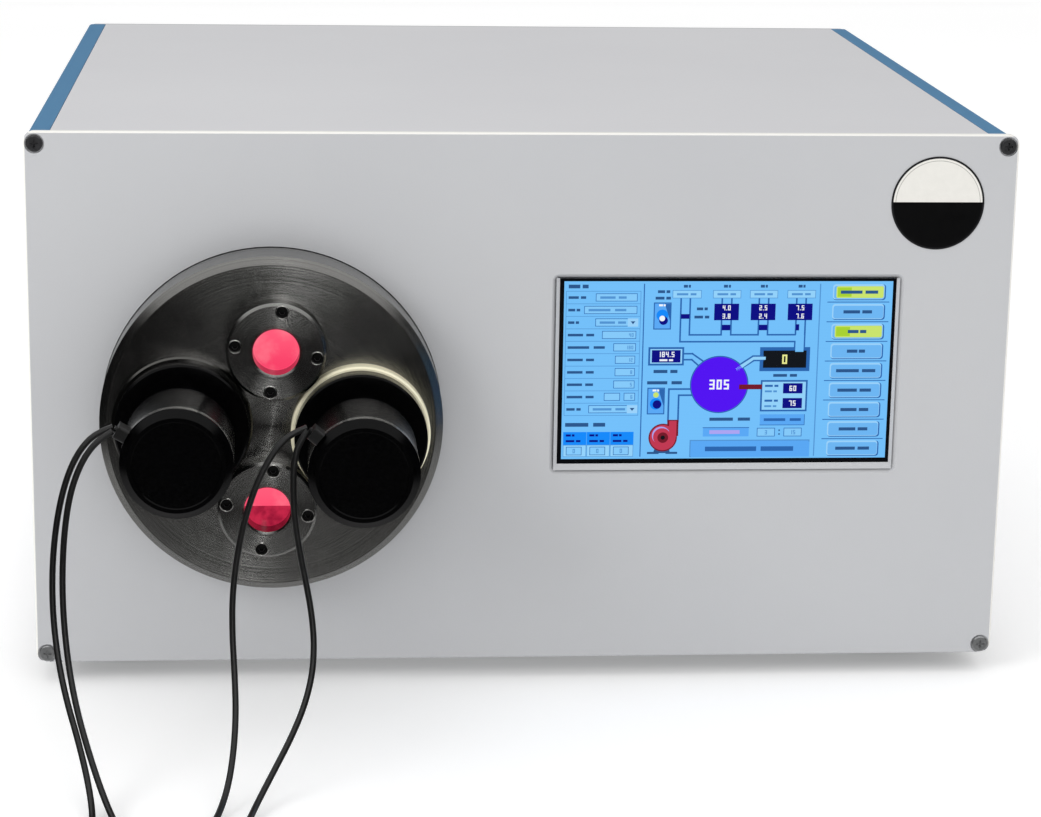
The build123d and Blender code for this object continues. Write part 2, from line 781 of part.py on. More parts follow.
def holder_probe(x, z):
    """The stepped shaft with the flat specimen tip at its inner end."""
    shaft_end_y = door_back_y + shaft_inner_length
    step_end_y = shaft_end_y + shaft_step_length
    tip_end_y = step_end_y + tip_length
    with BuildPart() as probe:
        add(turned(x, z, [
            (0, shaft_front_y), (shaft_radius, shaft_front_y), (shaft_radius, shaft_end_y - 2),
            (shaft_radius - 2, shaft_end_y), (shaft_step_radius, shaft_end_y),
            (shaft_step_radius, step_end_y - 1), (shaft_step_radius - 1, step_end_y),
            (tip_radius, step_end_y), (tip_radius, tip_end_y), (0, tip_end_y)]))
        blade_start_y = tip_end_y - tip_blade_length
        for sign in (-1, 1):
            cut = sorted((z + sign * tip_blade_thick / 2, z + sign * 2 * tip_radius))
            block((x - 2 * tip_radius, blade_start_y, cut[0]), (x + 2 * tip_radius, tip_end_y, cut[1]), Mode.SUBTRACT)
            side = sorted((x + sign * tip_blade_half_width, x + sign * 2 * tip_radius))
            block((side[0], blade_start_y, z - tip_radius), (side[1], tip_end_y, z + tip_radius), Mode.SUBTRACT)
        with Locations((x, tip_end_y - tip_blade_length / 3, z)):
            Cylinder(tip_hole_radius, 2 * tip_blade_thick, mode=Mode.SUBTRACT)
    return probe.part


def clip_centre(x, z, degrees):
    """Middle of the lead clip on a holder's barrel."""
    reach = cap_radius + clip_height / 2 - 0.6
    angle = math.radians(degrees)
    return (x + reach * math.cos(angle), z + reach * math.sin(angle))


def lead_clip(x, z, degrees):
    """A small saddle on the barrel that holds the two leads, with its screw."""
    centre_x, centre_z = clip_centre(x, z, degrees)
    outward = Vector(math.cos(math.radians(degrees)), 0, math.sin(math.radians(degrees)))
    seat = Plane(origin=(centre_x, clip_y, centre_z), x_dir=(0, 1, 0), z_dir=outward)
    with BuildPart() as clip:
        with BuildSketch(seat.offset(-clip_height / 2)):
            RectangleRounded(clip_depth, clip_width, 1.2)
        extrude(amount=clip_height)
        rod(x, z, clip_y - clip_depth, clip_y + clip_depth, cap_radius, Mode.SUBTRACT)
        with BuildSketch(seat.offset(clip_height / 2)):
            Circle(clip_screw_radius)
        extrude(amount=clip_screw_height)
    return clip.part


for side, centre, clip_angle in (("left", port_left, clip_angle_left), ("right", port_right, clip_angle_right)):
    write(holder_collar(*centre), "holder_collar_" + side)
    write(holder_grip(*centre), "holder_grip_" + side)
    write(holder_band(*centre), "holder_band_" + side)
    write(holder_cap(*centre), "holder_cap_" + side)
    write(holder_probe(*centre), "holder_probe_" + side)
    write(lead_clip(*centre, clip_angle), "lead_clip_" + side)

# Display
glass_back = panel_back_y
with BuildPart() as touch_glass:
    with BuildSketch(facing(screen_x, screen_z, glass_back)):
        RectangleRounded(screen_width - 2 * glass_gap, screen_height - 2 * glass_gap, screen_corner)
    extrude(amount=glass_thick)
write(touch_glass.part, "touch_glass")

with BuildPart() as display_module:
    half_w = screen_width / 2 + module_margin
    half_h = screen_height / 2 + module_margin
    block((screen_x - half_w, panel_back_y, screen_z - half_h),
          (screen_x + half_w, panel_back_y + module_thick, screen_z + half_h))
    board_w = half_w - module_board_margin
    board_h = half_h - module_board_margin
    block((screen_x - board_w, panel_back_y + module_thick, screen_z - board_h),
          (screen_x + board_w, panel_back_y + module_thick + module_board_thick, screen_z + board_h))
write(display_module.part, "display_module")

# Rear fittings
port_end_y = rear_y + rear_reach
valve_front_y = rear_flange_back_y + valve_inset
valve_back_y = valve_front_y + valve_length
pipe_radius = pump_bore_radius + pump_pipe_wall
pump_pipes = [
    turned(pump_port_x, pump_port_z, [
        (pump_bore_radius, rear_flange_back_y), (pipe_radius, rear_flange_back_y),
        (pipe_radius, valve_front_y), (pump_bore_radius, valve_front_y)]),
    turned(pump_port_x, pump_port_z, [
        (pump_bore_radius, valve_back_y), (pipe_radius, valve_back_y),
        (pipe_radius, port_end_y - kf_rim - kf_taper), (kf_radius, port_end_y - kf_rim),
        (kf_radius, port_end_y), (kf_recess_radius, port_end_y),
        (kf_recess_radius, port_end_y - kf_recess_depth), (pump_bore_radius, port_end_y - kf_recess_depth)]),
]
write(Compound(children=pump_pipes), "pump_pipes")

with BuildPart() as pump_valve:
    block((pump_port_x - valve_half_size, valve_front_y, pump_port_z - valve_half_size),
          (pump_port_x + valve_half_size, valve_back_y, pump_port_z + valve_half_size))
    rod(pump_port_x, pump_port_z, valve_front_y, valve_back_y, pump_bore_radius, Mode.SUBTRACT)
    with BuildSketch(Plane.XY.offset(pump_port_z + valve_half_size)):
        with Locations((pump_port_x, (valve_front_y + valve_back_y) / 2)):
            Circle(valve_actuator_radius)
    extrude(amount=valve_actuator_height)
write(pump_valve.part, "pump_valve")

gauge_y = rear_flange_back_y + valve_inset / 2
with BuildPart() as pressure_gauge:
    with BuildSketch(Plane.XY.offset(pump_port_z + pipe_radius)):
        with Locations((pump_port_x, gauge_y)):
            Circle(gauge_stem_radius)
    extrude(amount=gauge_stem_length)
    with BuildSketch(Plane.XY.offset(pump_port_z + pipe_radius + gauge_stem_length)):
        with Locations((pump_port_x, gauge_y)):
            Circle(gauge_radius)
    extrude(amount=gauge_length)
write(pressure_gauge.part, "pressure_gauge")

manifold_front_y = rear_inner_y - manifold_depth
with BuildPart() as gas_manifold:
    block((gas_places[0] - manifold_end_margin, manifold_front_y, gas_z - manifold_half_height),
          (gas_places[-1] + manifold_end_margin, rear_inner_y, gas_z + manifold_half_height))
    for x in gas_places:
        rod(x, gas_z, rear_inner_y, rear_y + gas_hex_length, gas_stub_radius)
        with BuildSketch(facing(x, gas_z, rear_y + gas_hex_length)):
            RegularPolygon(gas_hex_radius, 6)
        extrude(amount=gas_hex_length)
        rod(x, gas_z, rear_y + gas_hex_length, rear_y + gas_hex_length + gas_stub_length, gas_stub_radius)
        rod(x, gas_z, rear_y, rear_y + gas_hex_length + gas_stub_length, gas_bore_radius, Mode.SUBTRACT)
write(gas_manifold.part, "gas_manifold")

with BuildPart() as flow_controllers:
    for x in gas_places[:-1]:
        block((x - flow_width / 2, manifold_front_y - flow_length, gas_z - manifold_half_height),
              (x + flow_width / 2, manifold_front_y, gas_z - manifold_half_height + flow_height - cover_drop))
write(flow_controllers.part, "flow_controllers")

fan_front_y = rear_inner_y - fan_depth
fan_middle_y = rear_inner_y - fan_depth / 2
with BuildPart() as fan_frame:
    block((fan_x - fan_half_size, fan_front_y, fan_z - fan_half_size),
          (fan_x + fan_half_size, rear_inner_y, fan_z + fan_half_size))
    rod(fan_x, fan_z, fan_front_y, rear_inner_y, fan_bore_radius, Mode.SUBTRACT)
    rod(fan_x, fan_z, fan_front_y, fan_front_y + fan_arm_thick, fan_post_radius + 5)
    rod(fan_x, fan_z, fan_front_y, fan_middle_y, 3.0)
    for degrees in (45, 135, 225, 315):
        reach = (fan_post_radius + fan_bore_radius) / 2 + 1
        with BuildSketch(facing(fan_x, fan_z, fan_front_y + fan_arm_thick)):
            with PolarLocations(reach, 1, start_angle=degrees):
                Rectangle(fan_bore_radius - fan_post_radius + 4, fan_arm_width)
        extrude(amount=fan_arm_thick)
    for sign_x in (-1, 1):
        for sign_z in (-1, 1):
            rod(fan_x + sign_x * fan_screw_offset, fan_z + sign_z * fan_screw_offset,
                fan_front_y, rear_inner_y, screw_shank_radius, Mode.SUBTRACT)
write(fan_frame.part, "fan_frame")


def fan_blade():
    """One twisted blade, lofted from its root to its tip along +X of the fan."""
    stations = ((fan_hub_radius - 1.0, fan_blade_chord_root, fan_blade_pitch_root),
                (fan_blade_radius, fan_blade_chord_tip, fan_blade_pitch_tip))
    with BuildPart() as blade:
        for radius, chord, pitch in stations:
            lean = math.radians(pitch)
            across = Vector(0, math.sin(lean), math.cos(lean))
            with BuildSketch(Plane(origin=(radius, 0, 0), x_dir=across, z_dir=(1, 0, 0))):
                SlotOverall(chord, fan_blade_thick)
        loft()
    return blade.part


hub_front_y = fan_front_y + fan_arm_thick + fit_gap
hub_back_y = rear_inner_y - fit_gap
with BuildPart() as fan_rotor:
    rod(fan_x, fan_z, hub_front_y, hub_back_y, fan_hub_radius)
    blade_solid = fan_blade()
    for i in range(fan_blade_count):
        turn = Rotation(0, 360.0 * i / fan_blade_count, 0)
        add(Pos(fan_x, (hub_front_y + hub_back_y) / 2, fan_z) * turn * blade_solid)
    rod(fan_x, fan_z, hub_front_y, fan_middle_y + fit_gap, 3.05, Mode.SUBTRACT)
write(fan_rotor.part, "fan_rotor")

guard_y = rear_y + guard_stand_off
guard_screw_radius = math.hypot(fan_screw_offset, fan_screw_offset)
with BuildPart() as fan_guard:
    for radius in guard_ring_radii:
        add(turned(fan_x, fan_z, [
            (radius - guard_wire, guard_y), (radius + guard_wire, guard_y),
            (radius + guard_wire, guard_y + 2 * guard_wire), (radius - guard_wire, guard_y + 2 * guard_wire)]))
    for degrees in (45, 135, 225, 315):
        middle = (guard_ring_radii[0] + guard_screw_radius) / 2
        with BuildSketch(facing(fan_x, fan_z, guard_y + guard_wire)):
            with PolarLocations(middle, 1, start_angle=degrees):
                Rectangle(guard_screw_radius - guard_ring_radii[0], 2 * guard_wire)
        extrude(amount=guard_wire)
        angle = math.radians(degrees)
        rod(fan_x + guard_screw_radius * math.cos(angle), fan_z + guard_screw_radius * math.sin(angle),
            rear_y, guard_y + 2 * guard_wire, 3.2)
write(fan_guard.part, "fan_guard")

rocker_centre_x = inlet_x + rocker_x
rocker_half_w = rocker_width / 2
rocker_half_h = rocker_height / 2
plate_y = rear_y + inlet_plate_thick
with BuildPart() as power_inlet:
    block((inlet_x - inlet_width / 2, rear_y, inlet_z - inlet_height / 2),
          (inlet_x + inlet_width / 2, plate_y, inlet_z + inlet_height / 2))
    body_half_w = inlet_width / 2 - inlet_plate_thick - fit_gap
    body_half_h = inlet_height / 2 - inlet_plate_thick - fit_gap
    block((inlet_x - body_half_w, rear_y - inlet_depth, inlet_z - body_half_h),
          (inlet_x + body_half_w, rear_y, inlet_z + body_half_h))
    socket_x = inlet_x + inlet_socket_x
    block((socket_x - inlet_socket_width / 2, plate_y - inlet_socket_depth, inlet_z - inlet_socket_height / 2),
          (socket_x + inlet_socket_width / 2, plate_y, inlet_z + inlet_socket_height / 2), Mode.SUBTRACT)
    socket_floor_y = plate_y - inlet_socket_depth
    for offset, drop in ((-inlet_pin_spread, 2.0), (0, -2.0), (inlet_pin_spread, 2.0)):
        block((socket_x + offset - inlet_pin_width / 2, socket_floor_y, inlet_z - drop - inlet_pin_height / 2),
              (socket_x + offset + inlet_pin_width / 2, socket_floor_y + inlet_pin_length,
               inlet_z - drop + inlet_pin_height / 2))
    block((rocker_centre_x - rocker_half_w - rocker_gap, plate_y - rocker_depth - 4, inlet_z - rocker_half_h - rocker_gap),
          (rocker_centre_x + rocker_half_w + rocker_gap, plate_y, inlet_z + rocker_half_h + rocker_gap), Mode.SUBTRACT)
    rocker_pin_y = plate_y - rocker_depth / 2
    with Locations(Location((rocker_centre_x, rocker_pin_y, inlet_z), (0, 90, 0))):
        Cylinder(rocker_pin_radius, rocker_width + 2 * rocker_gap + 1.0)
write(power_inlet.part, "power_inlet")

with BuildPart() as power_rocker:
    with BuildSketch(Plane(origin=(rocker_centre_x - rocker_half_w, 0, 0), x_dir=(0, 1, 0), z_dir=(1, 0, 0))):
        with BuildLine():
            low_z = inlet_z - rocker_half_h + 1.2
            high_z = inlet_z + rocker_half_h - 1.2
            Polyline((plate_y + rocker_crown, high_z), (plate_y - 1.5, high_z), (rocker_pin_y - 2.6, inlet_z + 3.0),
                     (rocker_pin_y - 2.6, inlet_z - 3.0), (plate_y - 1.5, low_z), (plate_y + 0.6, low_z),
                     (plate_y + 0.2, inlet_z), close=True)
        make_face()
    extrude(amount=rocker_width)
    with Locations(Location((rocker_centre_x, rocker_pin_y, inlet_z), (0, 90, 0))):
        Cylinder(rocker_pin_radius + rocker_pin_gap, rocker_width + 1, mode=Mode.SUBTRACT)
write(power_rocker.part, "power_rocker")

# Electronics on the floor of the case
floor_z = panel_low + sheet_thick
with BuildPart() as rf_generator:
    size_x, size_y, size_z = generator_size
    start_y = panel_back_y + generator_inset
    block((generator_x - size_x / 2, start_y, floor_z), (generator_x + size_x / 2, start_y + size_y, floor_z + size_z))
    fin_step = (size_x - generator_fin_thick) / (generator_fin_count - 1)
    for i in range(generator_fin_count):
        fin_x = generator_x - size_x / 2 + fin_step * i
        block((fin_x, start_y, floor_z + size_z),
              (fin_x + generator_fin_thick, start_y + size_y, floor_z + size_z + generator_fin_height))
write(rf_generator.part, "rf_generator")

with BuildPart() as matching_box:
    size_x, size_y, size_z = matching_size
    start_y = flange_back_y + matching_inset
    block((door_x - size_x / 2, start_y, floor_z), (door_x + size_x / 2, start_y + size_y, floor_z + size_z))
    for offset in (-size_x / 4, size_x / 4):
        with BuildSketch(Plane.XY.offset(floor_z + size_z)):
            with Locations((door_x + offset, start_y + size_y / 2)):
                Circle(7)
        extrude(amount=9)
write(matching_box.part, "matching_box")

with BuildPart() as power_supply:
    size_x, size_y, size_z = supply_size
    start_y = panel_back_y + supply_inset
    block((supply_x - size_x / 2, start_y, floor_z), (supply_x + size_x / 2, start_y + size_y, floor_z + size_z))
write(power_supply.part, "power_supply")

with BuildPart() as controller_board:
    size_x, size_y, size_z = board_size
    start_y = panel_back_y + board_inset
    block((board_x, start_y, floor_z), (board_x + size_x, start_y + size_y, floor_z + board_rise + size_z))
    for along in (0.15, 0.5, 0.8):
        block((board_x + size_x, start_y + along * size_y - 8, floor_z + board_rise),
              (board_x + size_x + 6, start_y + along * size_y + 8, floor_z + board_rise + 30))
write(controller_board.part, "controller_board")

# Leads: routes from each clip to its plug, as (x, y from the panel's face, z)
lead_routes = {
    "lead_left_outer": [
        (-179.8, -89.6, 145.3), (-185.5, -90.4, 143.5), (-191.3, -91.9, 139.0), (-196.3, -93.8, 131.5),
        (-200.3, -95.9, 121.0), (-203.3, -98.0, 107.5), (-205.2, -100.0, 91.5), (-205.6, -103.0, 76.0),
        (-204.6, -108.0, 61.5), (-202.2, -116.0, 48.5), (-198.6, -125.5, 36.5), (-193.8, -136.0, 24.5),
        (-189.6, -147.5, 13.0), (-186.8, -160.0, 4.8), (-185.6, -173.5, 1.9), (-186.4, -187.0, 3.2),
        (-188.4, -199.5, 4.3), (-191.2, -211.0, 4.3)],
    "lead_left_inner": [
        (-179.7, -93.8, 144.6), (-185.0, -95.0, 141.6), (-190.1, -96.6, 136.2), (-194.3, -98.4, 128.5),
        (-197.7, -100.3, 118.0), (-199.9, -102.0, 104.0), (-201.0, -103.5, 88.5), (-201.0, -106.5, 73.5),
        (-199.8, -112.0, 59.5), (-197.6, -119.5, 46.0), (-194.2, -129.0, 33.5), (-189.6, -139.5, 21.5),
        (-184.6, -151.0, 11.0), (-179.8, -163.5, 4.2), (-175.6, -177.0, 1.9), (-172.6, -190.5, 3.2),
        (-171.0, -203.0, 4.3), (-170.6, -214.5, 4.3)],
    "lead_right_inner": [
        (-98.7, -89.6, 144.7), (-104.3, -90.6, 142.9), (-110.2, -92.2, 138.2), (-115.6, -94.2, 130.6),
        (-120.8, -96.6, 120.0), (-125.4, -98.6, 105.8), (-128.6, -100.6, 90.0), (-130.4, -103.6, 74.5),
        (-130.4, -108.8, 59.5), (-129.4, -116.6, 45.0), (-128.8, -126.0, 31.0), (-129.6, -137.0, 18.5),
        (-131.6, -149.5, 8.4), (-134.6, -163.0, 2.8), (-137.6, -176.5, 1.9), (-140.0, -190.0, 3.2),
        (-141.4, -202.5, 4.3), (-142.0, -214.0, 4.3)],
    "lead_right_outer": [
        (-98.4, -94.0, 144.6), (-102.0, -95.2, 140.0), (-104.0, -96.6, 133.0), (-104.7, -98.0, 123.5),
        (-104.3, -99.6, 110.0), (-102.3, -101.3, 95.5), (-99.4, -103.6, 81.0), (-97.0, -107.2, 68.0),
        (-96.0, -112.6, 56.0), (-97.0, -119.2, 44.5), (-100.6, -126.8, 33.0), (-106.4, -135.0, 22.0),
        (-112.8, -144.6, 12.8), (-118.4, -156.0, 5.8), (-122.4, -169.0, 2.2), (-124.2, -182.5, 2.8),
        (-124.8, -195.0, 4.3), (-124.6, -206.5, 4.3)],
}


def route_points(name):
    """A route in the part's own frame."""
    return [Vector(x, y + panel_y, z) for x, y, z in lead_routes[name]]


def corner_radii(points):
    """The largest tangent arc that each corner's two runs allow."""
    radii = []
    for before, here, after in zip(points, points[1:], points[2:]):
        into = here - before
        out = after - here
        turn = math.radians(into.get_angle(out))
        radii.append(arc_share * min(into.length, out.length) / math.tan(turn / 2))
    return radii


def lead_tube(name):
    """Straight runs joined by tangent arcs, swept with the lead's round section."""
    points = route_points(name)
    radii = corner_radii(points)
    with BuildPart() as tube:
        with BuildLine() as path:
            FilletPolyline(*points, radius=radii)
        route = path.wires()[0]
        with BuildSketch(Plane(origin=route @ 0, z_dir=route % 0)):
            Circle(lead_diameter / 2)
        sweep(path=route)
    length = route.length
    expected = length * math.pi * lead_diameter ** 2 / 4
    print(name, "length", round(length, 1), "smallest radius", round(min(radii), 1),
          "radii", [round(r) for r in radii], "volume ratio", round(tube.part.volume / expected, 4))
    return tube.part


def lead_plug(name):
    """The round plug at a lead's free end: boot, body and nose on one axis."""
    points = route_points(name)
    end = points[-1]
    heading = points[-1] - points[-2]
    level = Vector(heading.X, heading.Y, 0).normalized()
    with BuildPart() as plug:
        station = 0.0
        for radius, length in ((lead_diameter / 2 + 1.0, plug_boot_length), (plug_radius, plug_length),
                               (plug_nose_radius, plug_nose_length)):
            with BuildSketch(Plane(origin=end + level * station, z_dir=level)):
                Circle(radius)
            extrude(amount=length)
            station += length
    return plug.part


for name in lead_routes:
    write(lead_tube(name), name)
for side in ("left", "right"):
    pair = [lead_plug(name) for name in lead_routes if side in name]
    write(Compound(children=pair), "lead_plugs_" + side)
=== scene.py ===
# The looks of a desktop plasma cleaner: finishes for every CAD piece, the lit screen, the round badge,
# the free leads of the two specimen holders, and the studio. Metres, in the part's own frame.
import json
import math

import bmesh
import bpy
from mathutils import Matrix, Vector


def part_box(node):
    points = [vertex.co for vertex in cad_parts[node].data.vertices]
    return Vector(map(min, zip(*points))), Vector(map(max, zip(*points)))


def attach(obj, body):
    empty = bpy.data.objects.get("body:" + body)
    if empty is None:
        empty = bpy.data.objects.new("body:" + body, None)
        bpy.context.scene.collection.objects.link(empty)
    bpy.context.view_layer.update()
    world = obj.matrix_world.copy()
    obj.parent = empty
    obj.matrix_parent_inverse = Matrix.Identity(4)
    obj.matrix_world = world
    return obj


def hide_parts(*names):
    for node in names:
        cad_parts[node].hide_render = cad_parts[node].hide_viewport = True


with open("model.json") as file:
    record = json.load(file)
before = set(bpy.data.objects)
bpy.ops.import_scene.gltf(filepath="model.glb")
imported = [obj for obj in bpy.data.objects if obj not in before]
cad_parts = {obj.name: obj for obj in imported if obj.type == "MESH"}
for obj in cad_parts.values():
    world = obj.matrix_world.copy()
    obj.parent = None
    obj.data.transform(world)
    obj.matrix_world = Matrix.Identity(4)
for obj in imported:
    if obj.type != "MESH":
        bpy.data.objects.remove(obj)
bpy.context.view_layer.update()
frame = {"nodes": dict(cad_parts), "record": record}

MM = 0.001
nodes = frame["nodes"]


def front_centre(name):
    """The middle of a node's box as seen from the front, as (x, z)."""
    low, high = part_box(name)
    return ((low[0] + high[0]) / 2, (low[2] + high[2]) / 2)


# Places worked out from the frame
panel_low, panel_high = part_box("front_panel")
panel_face_y = panel_low[1]
door_centre = front_centre("door_disc")
fan_centre = front_centre("fan_rotor")
flange_low, flange_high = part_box("viewport_flanges")
boss_low, boss_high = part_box("port_bosses")
view_flange_radius = 22 * MM
view_hole_radius = 10.3 * MM
view_centres = (
    (flange_high[0] - view_flange_radius, flange_high[2] - view_flange_radius),
    (flange_low[0] + view_flange_radius, flange_low[2] + view_flange_radius),
)
boss_radius = 31 * MM
port_centres = (
    (boss_low[0] + boss_radius, boss_high[2] - boss_radius),
    (boss_high[0] - boss_radius, boss_low[2] + boss_radius),
)
glass_face_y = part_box("touch_glass")[0][1]

# How fine the marks of a lathe are, in rings to the metre
lathe_rings = 26000
ring_tones = 1500


def tone(red, green, blue):
    """A screen colour of 0 to 255 as the linear colour that shaders take."""
    def linear(value):
        share = value / 255
        if share <= 0.04045:
            return share / 12.92
        return ((share + 0.055) / 1.055) ** 2.4
    return (linear(red), linear(green), linear(blue), 1.0)


class Term:
    """A shader socket in an expression. Each operator adds the Math node that works it out."""

    def __init__(self, wiring, socket):
        self.wiring = wiring
        self.socket = socket

    def math(self, operation, *values):
        return self.wiring.node("Math", {"operation": operation}, dict(enumerate(values)))

    def vector(self, operation, *values):
        return self.wiring.node("VectorMath", {"operation": operation}, dict(enumerate(values)))

    def output(self, name):
        return Term(self.wiring, self.socket.node.outputs[name])

    def __add__(self, other):
        return self.math("ADD", self, other)

    def __sub__(self, other):
        return self.math("SUBTRACT", self, other)

    def __rsub__(self, other):
        return self.math("SUBTRACT", other, self)

    def __mul__(self, other):
        return self.math("MULTIPLY", self, other)

    def __rmul__(self, other):
        return self.math("MULTIPLY", other, self)

    def __truediv__(self, other):
        return self.math("DIVIDE", self, other)

    def __pow__(self, other):
        return self.math("POWER", self, other)

    def __gt__(self, other):
        return self.math("GREATER_THAN", self, other)

    def __lt__(self, other):
        return self.math("LESS_THAN", self, other)


class Wiring:
    """A node tree, of a material or of the world, and the ways to add to it."""

    def __init__(self, tree):
        self.tree = tree

    def feed(self, socket, value):
        """Give a socket a link or a plain value."""
        if isinstance(value, Term):
            self.tree.links.new(value.socket, socket)
        else:
            socket.default_value = value

    def node(self, kind, settings=None, inputs=None, output=0):
        """Add a node, set it up, feed its sockets and hand back one of its outputs."""
        made = self.tree.nodes.new("ShaderNode" + kind)
        for name, value in (settings or {}).items():
            setattr(made, name, value)
        for place, value in (inputs or {}).items():
            self.feed(made.inputs[place], value)
        return Term(self, made.outputs[output])

    def smooth(self, value, low, high):
        """0 below low, 1 above high, and an even rise between them."""
        settings = {"interpolation_type": "SMOOTHSTEP"}
        return self.node("MapRange", settings, {0: value, 1: low, 2: high, 3: 0.0, 4: 1.0})

    def parts(self, vector):
        """The three values of a vector."""
        split = self.node("SeparateXYZ", inputs={0: vector})
        return split.output("X"), split.output("Y"), split.output("Z")


class Finish(Wiring):
    """A material: its node tree, its shader, and what varies over its surface."""

    def __init__(self, name, constants=None):
        self.material = bpy.data.materials.new(name)
        self.material.use_nodes = True
        super().__init__(self.material.node_tree)
        self.shader = self.tree.nodes["Principled BSDF"]
        for socket, value in (constants or {}).items():
            self.shader.inputs[socket].default_value = value

    def point(self, stretch=(1, 1, 1)):
        """The surface point in the part's own frame, in metres, stretched along each axis."""
        place = self.node("TexCoord", output="Object")
        if tuple(stretch) == (1, 1, 1):
            return place
        return place.vector("MULTIPLY", place, stretch)

    def axes(self):
        """The surface point as three separate values."""
        return self.parts(self.point())

    def noise(self, scale, detail=2.0, stretch=(1, 1, 1)):
        """Smooth noise from 0 to 1, with scale lumps to the metre."""
        return self.node("TexNoise", {}, {"Vector": self.point(stretch), "Scale": scale, "Detail": detail})

    def noise_along(self, value, scale, detail=1.0):
        """Noise along one value, such as a radius."""
        settings = {"noise_dimensions": "1D"}
        return self.node("TexNoise", settings, {"W": value, "Scale": scale, "Detail": detail})

    def mix(self, share, low, high):
        """A colour between two colours."""
        return self.node("Mix", {"data_type": "RGBA"}, {0: share, 6: low, 7: high}, 2)

    def set(self, socket, value):
        """Feed one socket of the shader."""
        self.feed(self.shader.inputs[socket], value)

    def bump(self, height, strength, distance):
        """Raise and lower the surface by a height that varies over it."""
        raised = self.node("Bump", {}, {"Height": height, "Strength": strength, "Distance": distance})
        self.set("Normal", raised)

    def polar(self, centre, other=None, split=None):
        """Radius and direction round an axis along Y, or round the nearer of two such axes."""
        x, _, z = self.axes()
        centre_x, centre_z = centre
        if other is not None:
            value, index = (x, 0) if split == "x" else (z, 1)
            second = value < (centre[index] + other[index]) / 2
            centre_x = second * (other[0] - centre[0]) + centre[0]
            centre_z = second * (other[1] - centre[1]) + centre[1]
        across = x - centre_x
        up = z - centre_z
        radius = (across * across + up * up) ** 0.5 + 1e-6
        return radius, across / radius, up / radius

    def turning_marks(self, radius, across, up, tilt):
        """Tilt the surface to and fro along the radius, as the fine rings of a lathe do."""
        sway = (self.noise_along(radius, lathe_rings) - 0.5) * (2 * tilt)
        lean = self.node("CombineXYZ", {}, {0: across * sway, 1: 0.0, 2: up * sway})
        normal = self.node("NewGeometry", output="Normal")
        tilted = lean.vector("ADD", normal, lean)
        self.set("Normal", tilted.vector("NORMALIZE", tilted))


# Finishes
def panel_paint():
    """Fine-textured light grey powder coat, paler along the panel's top and side edges."""
    edge_width = 0.8 * MM
    finish = Finish("panel_paint", {"Specular IOR Level": 0.35})
    cloud = finish.noise(9, 3)
    paint = finish.mix(cloud, tone(186, 187, 190), tone(193, 194, 196))
    x, _, z = finish.axes()
    sides = (x > panel_high[0] - edge_width) + (x < panel_low[0] + edge_width)
    edge = (z > panel_high[2] - edge_width) + sides
    finish.set("Base Color", finish.mix(edge, paint, tone(236, 235, 230)))
    grain = finish.noise(1400, 3)
    finish.set("Roughness", grain * 0.2 + 0.42)
    finish.bump(grain, 0.12, 0.0003)
    return finish.material


def cover_paint():
    """Smooth pale grey paint."""
    finish = Finish("cover_paint", {"Specular IOR Level": 0.35})
    cloud = finish.noise(6, 4)
    finish.set("Base Color", finish.mix(cloud, tone(211, 211, 214), tone(219, 219, 221)))
    grain = finish.noise(900, 2)
    finish.set("Roughness", grain * 0.15 + 0.38)
    finish.bump(grain, 0.06, 0.0002)
    return finish.material


def brushed(name, dark, light, stretch, roughness, metallic=1.0, scale=60, lines=0.15):
    """Metal with fine lines drawn out along one direction."""
    finish = Finish(name, {"Metallic": metallic})
    line = finish.noise(scale, 4, stretch)
    finish.set("Base Color", finish.mix(line, dark, light))
    finish.set("Roughness", line * 0.16 + roughness)
    finish.bump(line, lines, 0.00005)
    return finish.material


def rail_blue():
    """Blue anodised extrusion with faint drawn lines along its length."""
    return brushed("rail_blue", tone(80, 134, 178), tone(96, 150, 190), (40, 1, 40), 0.38, 0.25, 60, 0.1)


def bare_aluminium():
    """Rolled aluminium sheet."""
    return brushed("bare_aluminium", tone(176, 178, 180), tone(200, 202, 204), (1, 30, 1), 0.32)


def turned_steel(name, centre, other=None, split=None, dark=(112, 112, 110), light=(150, 149, 146)):
    """Stainless steel faced on a lathe, whose rings spread each highlight along the radius."""
    finish = Finish(name, {"Metallic": 1.0})
    radius, across, up = finish.polar(centre, other, split)
    ring = finish.noise_along(radius, ring_tones, 3)
    finish.set("Base Color", finish.mix(ring, tone(*dark), tone(*light)))
    finish.set("Roughness", finish.noise(160, 3) * 0.1 + 0.16)
    finish.turning_marks(radius, across, up, 0.7)
    return finish.material


def port_steel():
    """Steel of the two ports: polished on the left, and on the right a satin turned side painted pale cream,
    a painted reflection, made almost non-metallic so that the painted colour shows.
    """
    finish = Finish("turned_steel_ports")
    radius, across, up = finish.polar(port_centres[1], port_centres[0], "x")
    right = finish.axes()[0] > door_centre[0]
    ring = finish.noise_along(radius, ring_tones, 3)
    grey = finish.mix(ring, tone(74, 74, 72), tone(112, 111, 108))
    # Painted reflection: pale cream streaks on the right port stand in for the light it mirrors.
    painted_cream_reflection = finish.mix(finish.noise(400, 3, (1, 14, 1)), tone(250, 241, 204), tone(255, 250, 224))
    finish.set("Base Color", finish.mix(right, grey, painted_cream_reflection))
    finish.set("Metallic", 1 - right * 0.95)
    finish.set("Roughness", finish.noise(160, 3) * 0.08 + 0.12 + right * 0.3)
    finish.turning_marks(radius, across, up, 0.25)
    return finish.material


